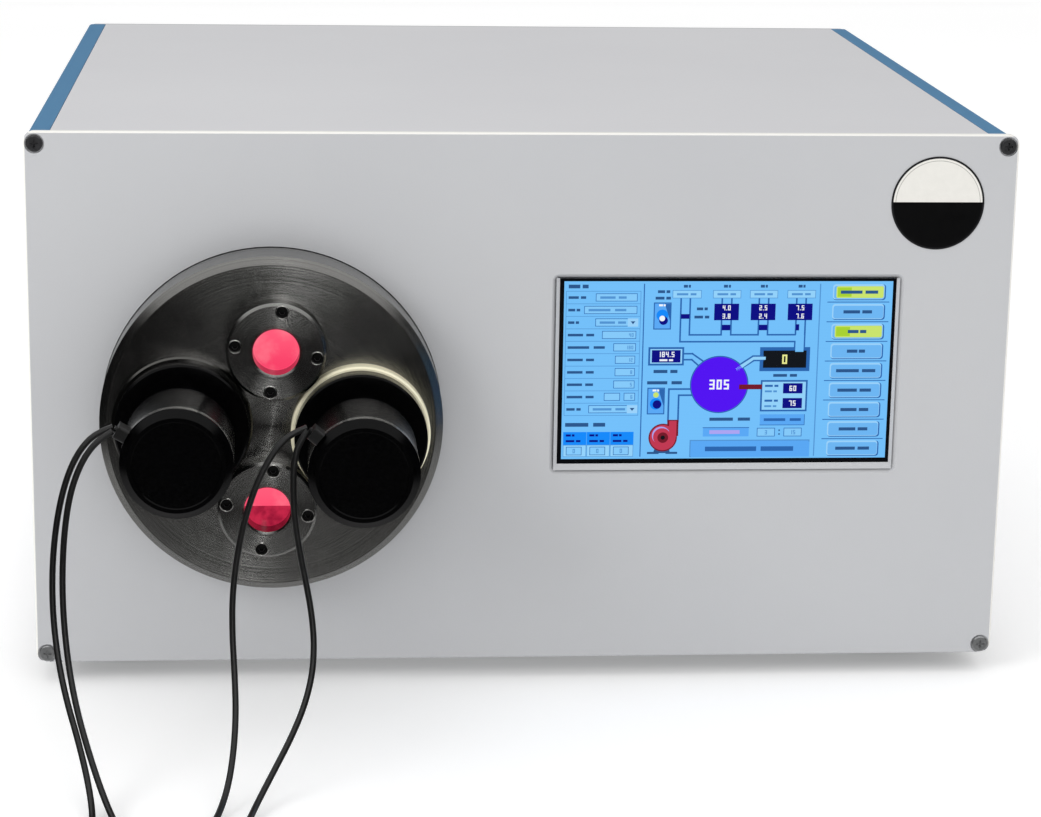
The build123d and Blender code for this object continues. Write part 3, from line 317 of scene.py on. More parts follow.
def screw_steel():
    """Plated cross-head screws, the upper ones painted darker than the lower ones, a painted reflection on
    screws that are alike.
    """
    finish = Finish("screw_steel")
    # Painted reflection: a dark tone above the panel's middle and a light tone below it, on the same screws.
    upper = finish.axes()[2] > (panel_low[2] + panel_high[2]) / 2
    rub = finish.noise(500, 4)
    low = finish.mix(rub, tone(150, 151, 152), tone(188, 189, 190))
    high = finish.mix(rub, tone(52, 52, 54), tone(84, 84, 86))
    finish.set("Base Color", finish.mix(upper, low, high))
    finish.set("Metallic", 0.85 - upper * 0.2)
    finish.set("Roughness", rub * 0.16 + 0.26)
    finish.bump(rub, 0.1, 0.0001)
    return finish.material


def polished_steel():
    """Polished stainless steel with faint wiping marks."""
    finish = Finish("polished_steel", {"Metallic": 1.0})
    wipe = finish.noise(240, 5)
    finish.set("Base Color", finish.mix(wipe, tone(178, 177, 174), tone(206, 205, 201)))
    finish.set("Roughness", wipe * 0.12 + 0.1)
    finish.bump(wipe, 0.03, 0.0001)
    return finish.material


def band_steel():
    """The holders' polished bands, a little greyer than the plain polished steel."""
    finish = Finish("band_steel", {"Metallic": 0.8})
    wipe = finish.noise(240, 5)
    finish.set("Base Color", finish.mix(wipe, tone(150, 149, 146), tone(180, 179, 176)))
    finish.set("Roughness", wipe * 0.06 + 0.06)
    return finish.material


def black_anodised():
    """Glossy black anodised aluminium with turning marks too fine to see one by one."""
    finish = Finish("black_anodised", {"Specular IOR Level": 0.14})
    dust = finish.noise(700, 4)
    finish.set("Base Color", finish.mix(dust, tone(0, 0, 0), tone(5, 5, 6)))
    finish.set("Roughness", dust * 0.16 + 0.12)
    finish.bump(finish.noise(30, 4, (1, 120, 1)), 0.04, 0.00005)
    return finish.material


def moulded(name, dark, light, roughness, grain_scale=900, relief=0.1, constants=None):
    """Moulded plastic or rubber with a fine grain."""
    finish = Finish(name, constants)
    grain = finish.noise(grain_scale, 3)
    finish.set("Base Color", finish.mix(finish.noise(20, 3), dark, light))
    finish.set("Roughness", grain * 0.2 + roughness)
    finish.bump(grain, relief, 0.0002)
    return finish.material


def quartz():
    """Clear fused quartz with a faint draw line."""
    finish = Finish("quartz", {"Transmission Weight": 0.9, "IOR": 1.46})
    line = finish.noise(40, 3, (20, 1, 20))
    finish.set("Base Color", finish.mix(line, tone(232, 238, 244), tone(246, 250, 253)))
    finish.set("Roughness", line * 0.05 + 0.02)
    return finish.material


def plasma_glass():
    """Sight glass lit from behind by the pink plasma, with the tray's edge across the lower one."""
    finish = Finish("sight_glass", {"Emission Strength": 1.0, "Specular IOR Level": 0.2})
    z = finish.axes()[2]
    tray_drop = 0.8 * MM
    lower = z < door_centre[1]
    tray = (z < view_centres[1][1] - tray_drop) * lower
    second = lower * (view_centres[1][1] - view_centres[0][1]) + view_centres[0][1]
    height = (z - second) / view_hole_radius
    glow = finish.mix(finish.smooth(height, -0.9, 0.8), tone(246, 66, 104), tone(255, 92, 122))
    swirl = finish.smooth(finish.noise(110, 3), 0.42, 0.7)
    glow = finish.mix(swirl * 0.6, glow, tone(255, 128, 146))
    band = finish.mix(finish.smooth(finish.noise(260, 3), 0.3, 0.7), tone(150, 22, 52), tone(196, 40, 72))
    finish.set("Emission Color", finish.mix(tray, glow, band))
    finish.set("Base Color", finish.mix(tray, tone(70, 10, 24), tone(40, 6, 14)))
    finish.set("Roughness", finish.noise(90, 2) * 0.06 + 0.05)
    return finish.material


def touch_face():
    """The black border of the touch glass, with faint finger marks."""
    finish = Finish("touch_face", {"Specular IOR Level": 0.4})
    smear = finish.noise(50, 5)
    finish.set("Base Color", finish.mix(smear, tone(6, 7, 10), tone(13, 14, 18)))
    finish.set("Roughness", smear * 0.16 + 0.06)
    return finish.material


def fan_black():
    """Moulded black plastic of the fan, with its sprue rings round the hub."""
    finish = Finish("black_plastic")
    rings = finish.noise_along(finish.polar(fan_centre)[0], 400)
    finish.set("Base Color", finish.mix(rings, tone(26, 26, 27), tone(40, 40, 41)))
    finish.set("Roughness", finish.noise(800, 2) * 0.2 + 0.42)
    finish.bump(finish.noise(1500, 3), 0.12, 0.0002)
    return finish.material


def circuit_green():
    """Solder mask with a raster of copper tracks under it."""
    finish = Finish("circuit_green", {"Coat Weight": 0.3})
    track = finish.node("TexBrick", {}, {"Vector": finish.point((1, 60, 60)), "Scale": 4.0}, 1)
    finish.set("Base Color", finish.mix(track, tone(16, 84, 46), tone(38, 118, 66)))
    finish.set("Roughness", finish.noise(300, 2) * 0.2 + 0.35)
    return finish.material


def lead_jacket():
    """Smooth black jacket with the slight waviness of a drawn wire."""
    finish = Finish("lead_jacket", {"Specular IOR Level": 0.5})
    wave = finish.noise(300, 3)
    finish.set("Base Color", finish.mix(wave, tone(12, 12, 12), tone(24, 24, 24)))
    finish.set("Roughness", wave * 0.14 + 0.26)
    finish.bump(wave, 0.1, 0.0001)
    return finish.material


steel_door = turned_steel("turned_steel_door", door_centre)
steel_views = turned_steel(
    "turned_steel_views", view_centres[0], view_centres[1], "z", (124, 124, 122), (162, 161, 158)
)
steel_ports = port_steel()
finishes = {
    "panel_paint": panel_paint(),
    "cover_paint": cover_paint(),
    "rail_blue": rail_blue(),
    "bare_aluminium": bare_aluminium(),
    "turned_steel": steel_door,
    "polished_steel": polished_steel(),
    "black_anodised": black_anodised(),
    "black_steel": moulded(
        "black_steel", tone(14, 14, 14), tone(24, 24, 24), 0.24, 600, 0.05, {"Metallic": 0.6}
    ),
    "screw_steel": screw_steel(),
    "quartz": quartz(),
    "sight_glass": plasma_glass(),
    "touch_face": touch_face(),
    "display_shell": moulded("display_shell", tone(38, 38, 40), tone(50, 50, 52), 0.5),
    "seal_rubber": moulded("seal_rubber", tone(28, 26, 26), tone(40, 38, 38), 0.55, 500, 0.15),
    "copper_sheet": brushed("copper_sheet", tone(186, 112, 74), tone(214, 142, 100), (1, 30, 1), 0.26),
    "brass_part": brushed("brass_part", tone(184, 152, 82), tone(212, 184, 112), (1, 1, 1), 0.24, 1.0, 200),
    "black_plastic": fan_black(),
    "lead_jacket": lead_jacket(),
    "circuit_green": circuit_green(),
    "foot_rubber": moulded("foot_rubber", tone(24, 24, 24), tone(36, 36, 36), 0.6, 700, 0.2),
}
steel_bands = band_steel()
clip_black = moulded("clip_black", tone(5, 5, 5), tone(13, 13, 13), 0.3)
own_finish = {
    "viewport_flanges": steel_views,
    "port_bosses": steel_ports,
    "holder_band_left": steel_bands,
    "holder_band_right": steel_bands,
    "lead_clip_left": clip_black,
    "lead_clip_right": clip_black,
}


def dress_frame():
    """Give every CAD node the finish that its slot names."""
    for part in frame["record"]["subparts"]:
        name = part["node"]
        material = own_finish.get(name, finishes[part["material_slot"]])
        for place in nodes[name].material_slots:
            place.material = material


dress_frame()


# The camera at the photograph's angle
def add_camera():
    """A long lens in front of the machine, a little to its left and above it."""
    place = (-0.10375, -1.425627, 0.452812)
    yaw, pitch, roll = 0.0813284, -0.2511046, 0.0164169
    lens, sensor_width = 98.81, 36
    forward = Vector((math.sin(yaw) * math.cos(pitch), math.cos(yaw) * math.cos(pitch), math.sin(pitch)))
    level = forward.cross(Vector((0, 0, 1))).normalized()
    upright = level.cross(forward)
    right = math.cos(roll) * level + math.sin(roll) * upright
    above = math.cos(roll) * upright - math.sin(roll) * level
    camera = bpy.data.objects.new("camera", bpy.data.cameras.new("camera"))
    bpy.context.scene.collection.objects.link(camera)
    turn = Matrix((right, above, -forward)).transposed().to_4x4()
    camera.matrix_world = Matrix.Translation(place) @ turn
    camera.data.sensor_width = sensor_width
    camera.data.lens = lens
    bpy.context.scene.camera = camera


add_camera()


class Shape:
    """Points and faces of one piece, gathered before its mesh is made."""

    def __init__(self):
        self.points = []
        self.faces = []
        self.finishes = []

    def add(self, points, faces, finish=0):
        start = len(self.points)
        self.points += [tuple(p) for p in points]
        self.faces += [[start + i for i in face] for face in faces]
        self.finishes += [finish] * len(faces)

    def piece(self, name, materials, body, smooth=False):
        """Make the object and let it ride on a body."""
        mesh = bpy.data.meshes.new(name)
        mesh.from_pydata(self.points, [], self.faces)
        for material in materials:
            mesh.materials.append(material)
        for polygon, finish in zip(mesh.polygons, self.finishes):
            polygon.material_index = finish
            polygon.use_smooth = smooth
        made = bpy.data.objects.new(name, mesh)
        bpy.context.scene.collection.objects.link(made)
        tidy = bmesh.new()
        tidy.from_mesh(mesh)
        bmesh.ops.recalc_face_normals(tidy, faces=tidy.faces)
        tidy.to_mesh(mesh)
        tidy.free()
        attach(made, body)
        return made

    def turned(self, place, profile, count=64, finish=0):
        """Turn a (radius, station) profile about an axis given as a frame matrix."""
        points = []
        for radius, station in profile:
            for i in range(count):
                angle = 2 * math.pi * i / count
                local = Vector((radius * math.cos(angle), radius * math.sin(angle), station))
                points.append(place @ local)
        faces = []
        for row in range(len(profile) - 1):
            for i in range(count):
                after = (i + 1) % count
                low, high = row * count, (row + 1) * count
                faces.append([low + i, low + after, high + after, high + i])
        self.add(points, faces, finish)


def facing_front(x, y, z):
    """A place whose own axis points out of the machine's front."""
    return Matrix.Translation((x, y, z)) @ Matrix.Rotation(math.radians(90), 4, "X")


# The free leads of the holders
lead_diameter = 2.7 * MM
lead_routes = {
    "lead_left_outer": [
        (-179.8, -89.6, 145.3), (-185.5, -90.4, 143.5), (-191.3, -91.9, 139.0), (-196.3, -93.8, 131.5),
        (-200.3, -95.9, 121.0), (-203.3, -98.0, 107.5), (-205.2, -100.0, 91.5), (-205.6, -103.0, 76.0),
        (-204.6, -108.0, 61.5), (-202.2, -116.0, 48.5), (-198.6, -125.5, 36.5), (-193.8, -136.0, 24.5),
        (-189.6, -147.5, 13.0), (-186.8, -160.0, 4.8), (-185.6, -173.5, 1.9), (-186.4, -187.0, 3.2),
        (-188.4, -199.5, 4.3), (-191.2, -211.0, 4.3)],
    "lead_left_inner": [
        (-179.7, -93.8, 144.6), (-185.0, -95.0, 141.6), (-190.1, -96.6, 136.2), (-194.3, -98.4, 128.5),
        (-197.7, -100.3, 118.0), (-199.9, -102.0, 104.0), (-201.0, -103.5, 88.5), (-201.0, -106.5, 73.5),
        (-199.8, -112.0, 59.5), (-197.6, -119.5, 46.0), (-194.2, -129.0, 33.5), (-189.6, -139.5, 21.5),
        (-184.6, -151.0, 11.0), (-179.8, -163.5, 4.2), (-175.6, -177.0, 1.9), (-172.6, -190.5, 3.2),
        (-171.0, -203.0, 4.3), (-170.6, -214.5, 4.3)],
    "lead_right_inner": [
        (-98.7, -89.6, 144.7), (-104.3, -90.6, 142.9), (-110.2, -92.2, 138.2), (-115.6, -94.2, 130.6),
        (-120.8, -96.6, 120.0), (-125.4, -98.6, 105.8), (-128.6, -100.6, 90.0), (-130.4, -103.6, 74.5),
        (-130.4, -108.8, 59.5), (-129.4, -116.6, 45.0), (-128.8, -126.0, 31.0), (-129.6, -137.0, 18.5),
        (-131.6, -149.5, 8.4), (-134.6, -163.0, 2.8), (-137.6, -176.5, 1.9), (-140.0, -190.0, 3.2),
        (-141.4, -202.5, 4.3), (-142.0, -214.0, 4.3)],
    "lead_right_outer": [
        (-98.4, -94.0, 144.6), (-102.0, -95.2, 140.0), (-104.0, -96.6, 133.0), (-104.7, -98.0, 123.5),
        (-104.3, -99.6, 110.0), (-102.3, -101.3, 95.5), (-99.4, -103.6, 81.0), (-97.0, -107.2, 68.0),
        (-96.0, -112.6, 56.0), (-97.0, -119.2, 44.5), (-100.6, -126.8, 33.0), (-106.4, -135.0, 22.0),
        (-112.8, -144.6, 12.8), (-118.4, -156.0, 5.8), (-122.4, -169.0, 2.2), (-124.2, -182.5, 2.8),
        (-124.8, -195.0, 4.3), (-124.6, -206.5, 4.3)],
}


def route_in_frame(name):
    """A lead's route in the part's own frame."""
    return [Vector((x * MM, y * MM + panel_face_y, z * MM)) for x, y, z in lead_routes[name]]


def lead_curve(name, body):
    """A lead as one smooth NURBS spline with a round section."""
    curve = bpy.data.curves.new(name + "_jacket", "CURVE")
    curve.dimensions = "3D"
    curve.resolution_u = 12
    curve.bevel_depth = lead_diameter / 2
    curve.bevel_resolution = 6
    points = route_in_frame(name)
    spline = curve.splines.new("NURBS")
    spline.points.add(len(points) - 1)
    for place, point in zip(spline.points, points):
        place.co = (*point, 1.0)
    spline.order_u = 3
    spline.use_endpoint_u = True
    made = bpy.data.objects.new(name + "_jacket", curve)
    bpy.context.scene.collection.objects.link(made)
    curve.materials.append(finishes["lead_jacket"])
    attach(made, body)
    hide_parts(name)
    return made


def ring_profile(rows):
    """A turning profile from millimetres to metres."""
    return [(radius * MM, station * MM) for radius, station in rows]


def boot_profile(cable_radius):
    """The plug's bend relief: four ribs that grow towards the body."""
    neck, length, rib_count, rib_step, rib_height = 2.3, 7.0, 4, 1.65, 0.4
    rows = [(0.2, 0.0), (cable_radius, 0.0)]
    for rib in range(rib_count):
        start = 0.4 + rib_step * rib
        low = cable_radius + 0.2 + 0.12 * rib
        high = low + rib_height
        rows += [(low, start), (high, start + 0.3), (high, start + 0.9), (low, start + 1.2)]
    return ring_profile(rows + [(neck, length)])


def shell_profile():
    """The plug's body, with five finger grooves."""
    outer, floor, groove_count, groove_step = 4.0, 3.7, 5, 1.8
    rows = [(2.3, 7.0), (3.4, 7.1), (outer, 7.8)]
    for groove in range(groove_count):
        start = 9.5 + groove_step * groove
        rows += [(outer, start), (floor, start + 0.3), (floor, start + 0.8), (outer, start + 1.1)]
    return ring_profile(rows + [(outer, 22.3), (3.5, 23.0), (2.9, 23.0)])


def nose_profile():
    """The plug's bare nose, with a groove and an open socket."""
    return ring_profile([
        (2.9, 23.0), (2.9, 27.0), (2.6, 27.3), (2.6, 28.0), (2.9, 28.3),
        (2.9, 31.4), (2.5, 32.0), (2.1, 32.0), (2.1, 29.5), (0.0, 29.5),
    ])


def lead_plug(name, body):
    """A round plug on a lead's free end: ribbed boot, grooved body and bare nose."""
    side_count = 40
    points = route_in_frame(name)
    along = points[-1] - points[-2]
    along.z = 0
    along.normalize()
    side = along.cross(Vector((0, 0, 1)))
    turn = Matrix((side, Vector((0, 0, 1)), along)).transposed().to_4x4()
    place = Matrix.Translation(points[-1]) @ turn
    shape = Shape()
    shape.turned(place, boot_profile(lead_diameter / 2 / MM), side_count, 0)
    shape.turned(place, shell_profile(), side_count, 0)
    shape.turned(place, nose_profile(), side_count, 1)
    materials = [finishes["black_plastic"], finishes["polished_steel"]]
    made = shape.piece(name.replace("lead", "plug"), materials, body, True)
    made.data.set_sharp_from_angle(angle=math.radians(35))
    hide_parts("lead_plugs_left" if "left" in name else "lead_plugs_right")
    return made


for name in lead_routes:
    body = "holder_left" if "left" in name else "holder_right"
    lead = lead_curve(name, body)
    plug = lead_plug(name, body)


# The lit screen
lit_left = 17.7 * MM
lit_top = 188.4 * MM
lit_width = 150.4 * MM
lit_height = 83.2 * MM
layer_step = 0.02 * MM
picture_front_y = glass_face_y - 0.05 * MM
# The display's rows, in radians to the metre
raster_pitch = 9000


def lit(name, colour, fade=0.1):
    """A screen colour with the faint raster and uneven backlight of a real display."""
    constants = {"Emission Strength": 1.0, "Specular IOR Level": 0.15, "Roughness": 0.12}
    finish = Finish("screen_" + name, constants)
    finish.set("Base Color", finish.mix(finish.noise(30, 2), tone(4, 4, 5), tone(9, 9, 11)))
    phase = finish.axes()[2] * raster_pitch
    rows = phase.math("SINE", phase) * 0.5 + 0.5
    dim = tuple(value * (1 - fade) for value in colour[:3]) + (1.0,)
    shade = finish.noise(14, 2) * 0.7 + rows * 0.3
    finish.set("Emission Color", finish.mix(shade, dim, colour))
    return finish.material


screen_colours = {
    "sky": tone(118, 196, 255),
    "pale": tone(150, 214, 255),
    "field": tone(136, 206, 255),
    "line": tone(44, 104, 178),
    "edge": tone(84, 150, 214),
    "navy": tone(10, 12, 132),
    "blue": tone(20, 140, 255),
    "button": tone(112, 186, 248),
    "button_light": tone(158, 214, 255),
    "banner": tone(92, 172, 250),
    "lime": tone(206, 232, 112),
    "lime_deep": tone(172, 214, 52),
    "purple": tone(84, 18, 246),
    "black": tone(16, 20, 26),
    "white": tone(246, 250, 255),
    "straw": tone(240, 242, 150),
    "red": tone(196, 58, 84),
    "dark_red": tone(118, 26, 42),
    "ink": tone(44, 88, 142),
    "lilac": tone(176, 168, 246),
}
colour_names = list(screen_colours)


class Picture(Shape):
    """Flat tiles on the display, placed in millimetres right of and below the lit area's corner."""

    def tile(self, outline, colour, layer):
        y = picture_front_y - layer * layer_step
        points = [(lit_left + u * MM, y, lit_top - v * MM) for u, v in outline]
        self.add(points, [list(range(len(points)))], colour_names.index(colour))

    def box(self, left, top, right, bottom, colour, layer=1):
        self.tile([(left, bottom), (right, bottom), (right, top), (left, top)], colour, layer)

    def rounded(self, left, top, right, bottom, corner, colour, layer=1):
        outline = []
        for u, v, start in ((right - corner, top + corner, 0), (left + corner, top + corner, 90),
                            (left + corner, bottom - corner, 180), (right - corner, bottom - corner, 270)):
            for step in range(5):
                angle = math.radians(start + 22.5 * step)
                outline.append((u + corner * math.cos(angle), v - corner * math.sin(angle)))
        self.tile(outline, colour, layer)

    def disc(self, u, v, radius, colour, layer=1, count=64):
        turn = 2 * math.pi / count
        outline = []
        for i in range(count):
            outline.append((u + radius * math.cos(turn * i), v - radius * math.sin(turn * i)))
        self.tile(outline, colour, layer)

    def stroke(self, points, width, colour, layer=1):
        """A line of even width through points, with mitred corners."""
        for (u1, v1), (u2, v2) in zip(points, points[1:]):
            along = Vector((u2 - u1, v2 - v1)).normalized() * width / 2
            across = Vector((-along.y, along.x))
            start, end = Vector((u1, v1)) - along, Vector((u2, v2)) + along
            self.tile([start + across, end + across, end - across, start - across], colour, layer)

    def framed(self, left, top, right, bottom, edge, inside, width=0.5, layer=1):
        self.box(left, top, right, bottom, edge, layer)
        self.box(left + width, top + width, right - width, bottom - width, inside, layer + 1)

    def label(self, left, middle, right, height=1.3, colour="ink", layer=3, gap_share=0.12):
        """A bare bar, in two lengths, where a caption stands."""
        span = right - left
        gap = span * gap_share
        split = left + span * 0.58
        self.box(left, middle - height / 2, split, middle + height / 2, colour, layer)
        self.box(split + gap, middle - height / 2, right, middle + height / 2, colour, layer)


# Plain numbers, as seven-bar digits: which bars each digit lights
digit_bars = {
    "0": "abcdef", "1": "bc", "2": "abged", "3": "abgcd", "4": "fgbc",
    "5": "afgcd", "6": "afgedc", "7": "abc", "8": "abcdefg", "9": "abcdfg",
}


def number(picture, text, left, top, height, colour, layer):
    """Write a plain number with seven-bar digits."""
    wide = height * 0.52
    bar = height * 0.17
    u = left
    for sign in text:
        if sign == ".":
            picture.box(u, top + height - bar, u + bar, top + height, colour, layer)
            u += 2.0 * bar
            continue
        right, low, middle = u + wide, top + height, top + height / 2
        bars = {
            "a": (u, top, right, top + bar), "g": (u, middle - bar / 2, right, middle + bar / 2),
            "d": (u, low - bar, right, low), "f": (u, top, u + bar, middle), "e": (u, middle, u + bar, low),
            "b": (right - bar, top, right, middle), "c": (right - bar, middle, right, low),
        }
        for key in digit_bars[sign]:
            picture.box(*bars[key], colour, layer)
        u += wide + height * 0.2


def number_width(text, height):
    """How wide a number comes out."""
    points = text.count(".")
    return (len(text) - points) * height * 0.72 + points * height * 0.34 - height * 0.2


def centred(picture, text, u, middle, height, colour, layer=5):
    """A number centred on a point."""
    number(picture, text, u - number_width(text, height) / 2, middle - height / 2, height, colour, layer)


def settings_column(picture):
    """The left column: ten rows with a caption bar and a field each, and the job cells below."""
    row_top, row_step, row_left, row_right = 4.6, 5.8, 1.0, 34.9
    picture.label(2.0, 2.4, 11.0, 1.7)
    fields = ((14.4, 33.4), (9.2, 33.4), (14.4, 33.4), (17.6, 33.2), (22.9, 33.2),
              (23.8, 33.0), (23.8, 33.0), (23.3, 33.0), (28.2, 33.4), (12.1, 34.0))
    values = ("", "", "", "40", "180", "12", "8", "5", "6", "")
    captions = (10.0, 7.4, 7.0, 14.0, 19.0, 14.2, 14.2, 14.0, 14.4, 8.6)
    picture.stroke([(row_left, row_top), (row_right, row_top)], 0.25, "edge", 2)
    for row, ((left, right), value, caption) in enumerate(zip(fields, values, captions)):
        top = row_top + row_step * row
        middle = top + row_step / 2
        picture.stroke([(row_left, top + row_step), (row_right, top + row_step)], 0.25, "edge", 2)
        picture.label(2.0, middle, caption, 1.2)
        picture.framed(left, middle - 1.9, right, middle + 1.8, "line", "field", 0.28, 2)
        if value:
            number(picture, value, right - 1.2 - number_width(value, 1.7), middle - 0.85, 1.7, "edge", 5)
        else:
            picture.label(left + 2.0, middle, right - 5.0, 1.1, "edge", 5)
    small_top = row_top + row_step * 8 + 1.0
    picture.framed(19.1, small_top, 26.5, small_top + row_step - 2.1, "line", "field", 0.28, 2)
    for row in (2, 9):
        middle = row_top + row_step * (row + 0.5)
        right = fields[row][1]
        picture.box(right - 4.2, middle - 1.9, right + 0.6, middle + 1.9, "button_light", 5)
        arrow = [(right - 2.9, middle - 0.6), (right - 0.7, middle - 0.6), (right - 1.8, middle + 0.8)]
        picture.tile(arrow, "ink", 6)
    for side in (row_left, row_right):
        picture.stroke([(side, row_top), (side, row_top + 10 * row_step)], 0.25, "edge", 2)
    picture.label(1.6, 67.0, 20.0, 1.8)
    cell_width = 10.85
    for cell in range(3):
        left = 0.8 + cell_width * cell
        picture.box(left, 70.4, left + cell_width - 0.15, 76.5, "blue", 2)
        picture.label(left + 1.2, 72.0, left + 5.2, 1.0, "navy", 4)
        picture.label(left + 1.2, 74.7, left + 8.0, 1.0, "navy", 4)
        picture.framed(left, 76.5, left + cell_width - 0.15, 82.2, "edge", "pale", 0.25, 2)
        picture.framed(left + 1.4, 77.4, left + 8.6, 81.4, "line", "field", 0.28, 4)
        centred(picture, "0", left + 5.0, 79.4, 2.0, "edge", 6)


def rocker_icon(picture, left, top, lamp):
    """A picture of a toggle switch: a blue plate with a bright lever."""
    picture.framed(left, top, left + 8.1, top + 12.6, "line", "banner", 0.5, 2)
    picture.tile([(left + 5.0, top + 0.6), (left + 7.6, top + 0.6), (left + 7.6, top + 8.5)], "line", 4)
    picture.disc(left + 4.0, top + (7.6 if lamp else 6.0), 2.7, "blue", 5, 32)
    picture.disc(left + 4.6, top + (7.9 if lamp else 8.4), 2.0, "navy", 6, 32)
    picture.disc(left + 4.0, top + (3.4 if lamp else 7.4), 1.3, lamp or "white", 7, 24)
    picture.label(left + 2.4, top + 1.3, left + 5.4, 0.9, "white", 7)


def readout(picture, left, top, right, bottom, upper, lower):
    """A navy block with two numbers."""
    picture.box(left, top, right, bottom, "navy", 4)
    middle = (left + right) / 2
    half = (bottom - top) / 4
    centred(picture, upper, middle, top + half, 2.3, "white", 5)
    centred(picture, lower, middle, bottom - half, 2.3, "white", 5)


def gas_lines(picture):
    """Gas boxes, their readouts and the double lines that carry them to the chamber."""
    stem = 0.75
    picture.stroke([(53.3, 7.7), (53.3, 28.1), (106.2, 28.1), (106.2, 33.0)], stem, "line", 2)
    for left, right in ((57.5, 72.1), (76.5, 89.1), (93.4, 106.3)):
        picture.stroke([(left, 7.7), (left, 24.9), (right, 24.9), (right, 7.7)], stem, "line", 2)
    picture.stroke([(110.6, 7.7), (110.6, 33.0)], stem, "line", 2)
    for left, right in ((49.3, 62.6), (67.8, 80.7), (84.7, 97.6), (101.9, 115.0)):
        picture.framed(left, 4.1, right, 7.9, "edge", "pale", 0.28, 3)
        picture.label(left + 2.0, 6.0, right - 2.4, 1.0, "edge", 5)
        picture.label((left + right) / 2 - 1.6, 2.3, (left + right) / 2 + 1.6, 1.3)
    for left, upper, lower in ((68.6, "4.0", "3.8"), (85.4, "2.5", "2.4"), (102.4, "7.5", "7.6")):
        readout(picture, left, 10.4, left + 11.3, 18.1, upper, lower)
    for left, right in ((72.3, 76.2), (89.3, 93.2)):
        picture.box(left, 20.2, right, 22.8, "navy", 4)
    picture.box(106.3, 20.0, 107.9, 22.9, "navy", 4)
    picture.box(53.4, 15.2, 57.4, 17.4, "navy", 4)
    picture.label(60.6, 12.8, 65.6, 1.3)
    picture.label(59.6, 16.6, 66.4, 1.3)
    picture.label(42.6, 4.8, 48.2, 1.3)
    picture.label(41.6, 7.8, 48.6, 1.3)
    rocker_icon(picture, 40.9, 9.8, "")


def chamber_diagram(picture):
    """The round chamber with its pressure, gas and power connections."""
    centre_u, centre_v, radius = 72.0, 48.2, 13.0
    picture.framed(39.0, 30.6, 55.4, 39.2, "line", "pale", 0.9, 2)
    picture.box(40.6, 32.0, 53.8, 37.8, "navy", 4)
    centred(picture, "184.5", 47.2, 34.0, 2.5, "white", 5)
    picture.label(44.2, 36.7, 50.4, 0.9, "white", 5)
    picture.label(41.6, 42.0, 52.6, 1.5)
    picture.stroke([(55.4, 33.7), (59.2, 33.7), (65.4, 38.0)], 0.75, "line", 2)
    picture.stroke([(55.4, 36.5), (59.0, 36.5), (63.0, 40.0)], 0.75, "line", 2)
    picture.framed(90.3, 30.7, 113.4, 42.0, "line", "black", 1.6, 3)
    centred(picture, "0", 101.8, 36.4, 4.4, "straw", 6)
    picture.box(106.5, 24.9, 110.3, 32.9, "sky", 6)
    pipe_edge = [(80.6, 42.0), (87.8, 37.3), (92.6, 37.3), (92.6, 34.5), (87.0, 34.5), (79.4, 39.6)]
    pipe_inside = [(80.2, 42.0), (87.5, 36.6), (93.0, 36.6), (93.0, 35.2), (87.3, 35.2), (79.2, 40.6)]
    picture.tile(pipe_edge, "line", 4)
    picture.tile(pipe_inside, "pale", 5)
    picture.disc(centre_u, centre_v, radius + 0.5, "line", 4)
    picture.disc(centre_u, centre_v, radius, "purple", 5)
    centred(picture, "305", centre_u, centre_v, 4.6, "white", 6)
    picture.box(81.2, 48.2, 91.8, 50.5, "dark_red", 6)
    picture.label(96.8, 44.0, 107.8, 1.3)
    picture.framed(91.2, 46.2, 112.9, 61.0, "line", "pale", 0.8, 3)
    for top, value in ((47.7, "60"), (54.7, "75")):
        picture.box(101.6, top, 110.6, top + 4.8, "navy", 5)
        centred(picture, value, 106.1, top + 2.4, 2.5, "white", 6)
        picture.label(93.2, top + 1.2, 99.4, 1.0, "line", 5)
        picture.label(93.2, top + 3.8, 98.8, 0.9, "edge", 5)


def pump_picture(picture):
    """The pump line, a round blower and its switch."""
    picture.label(38.8, 47.3, 54.8, 1.5)
    rocker_icon(picture, 39.0, 49.6, "lime")
    picture.stroke([(60.0, 50.3), (48.9, 50.3), (48.9, 65.4)], 0.8, "line", 2)
    picture.stroke([(60.0, 53.2), (53.5, 53.2), (53.5, 65.4)], 0.8, "line", 2)
    picture.tile([(43.6, 76.4), (49.4, 76.4), (50.2, 80.6), (42.4, 80.6)], "ink", 2)
    picture.box(39.6, 80.0, 45.0, 81.0, "ink", 3)
    picture.box(48.2, 80.0, 53.6, 81.0, "ink", 3)
    picture.box(48.6, 64.8, 53.8, 72.5, "dark_red", 4)
    picture.box(49.5, 65.3, 52.9, 73.0, "red", 5)
    picture.disc(46.7, 73.2, 6.6, "dark_red", 4, 48)
    picture.disc(46.7, 73.2, 6.0, "red", 5, 48)
    picture.disc(45.9, 72.2, 4.2, "lilac", 6, 48)
    picture.disc(46.3, 72.8, 4.1, "red", 7, 48)
    picture.disc(46.7, 73.2, 2.5, "dark_red", 8, 32)
    picture.disc(46.7, 73.2, 1.0, "black", 9, 24)


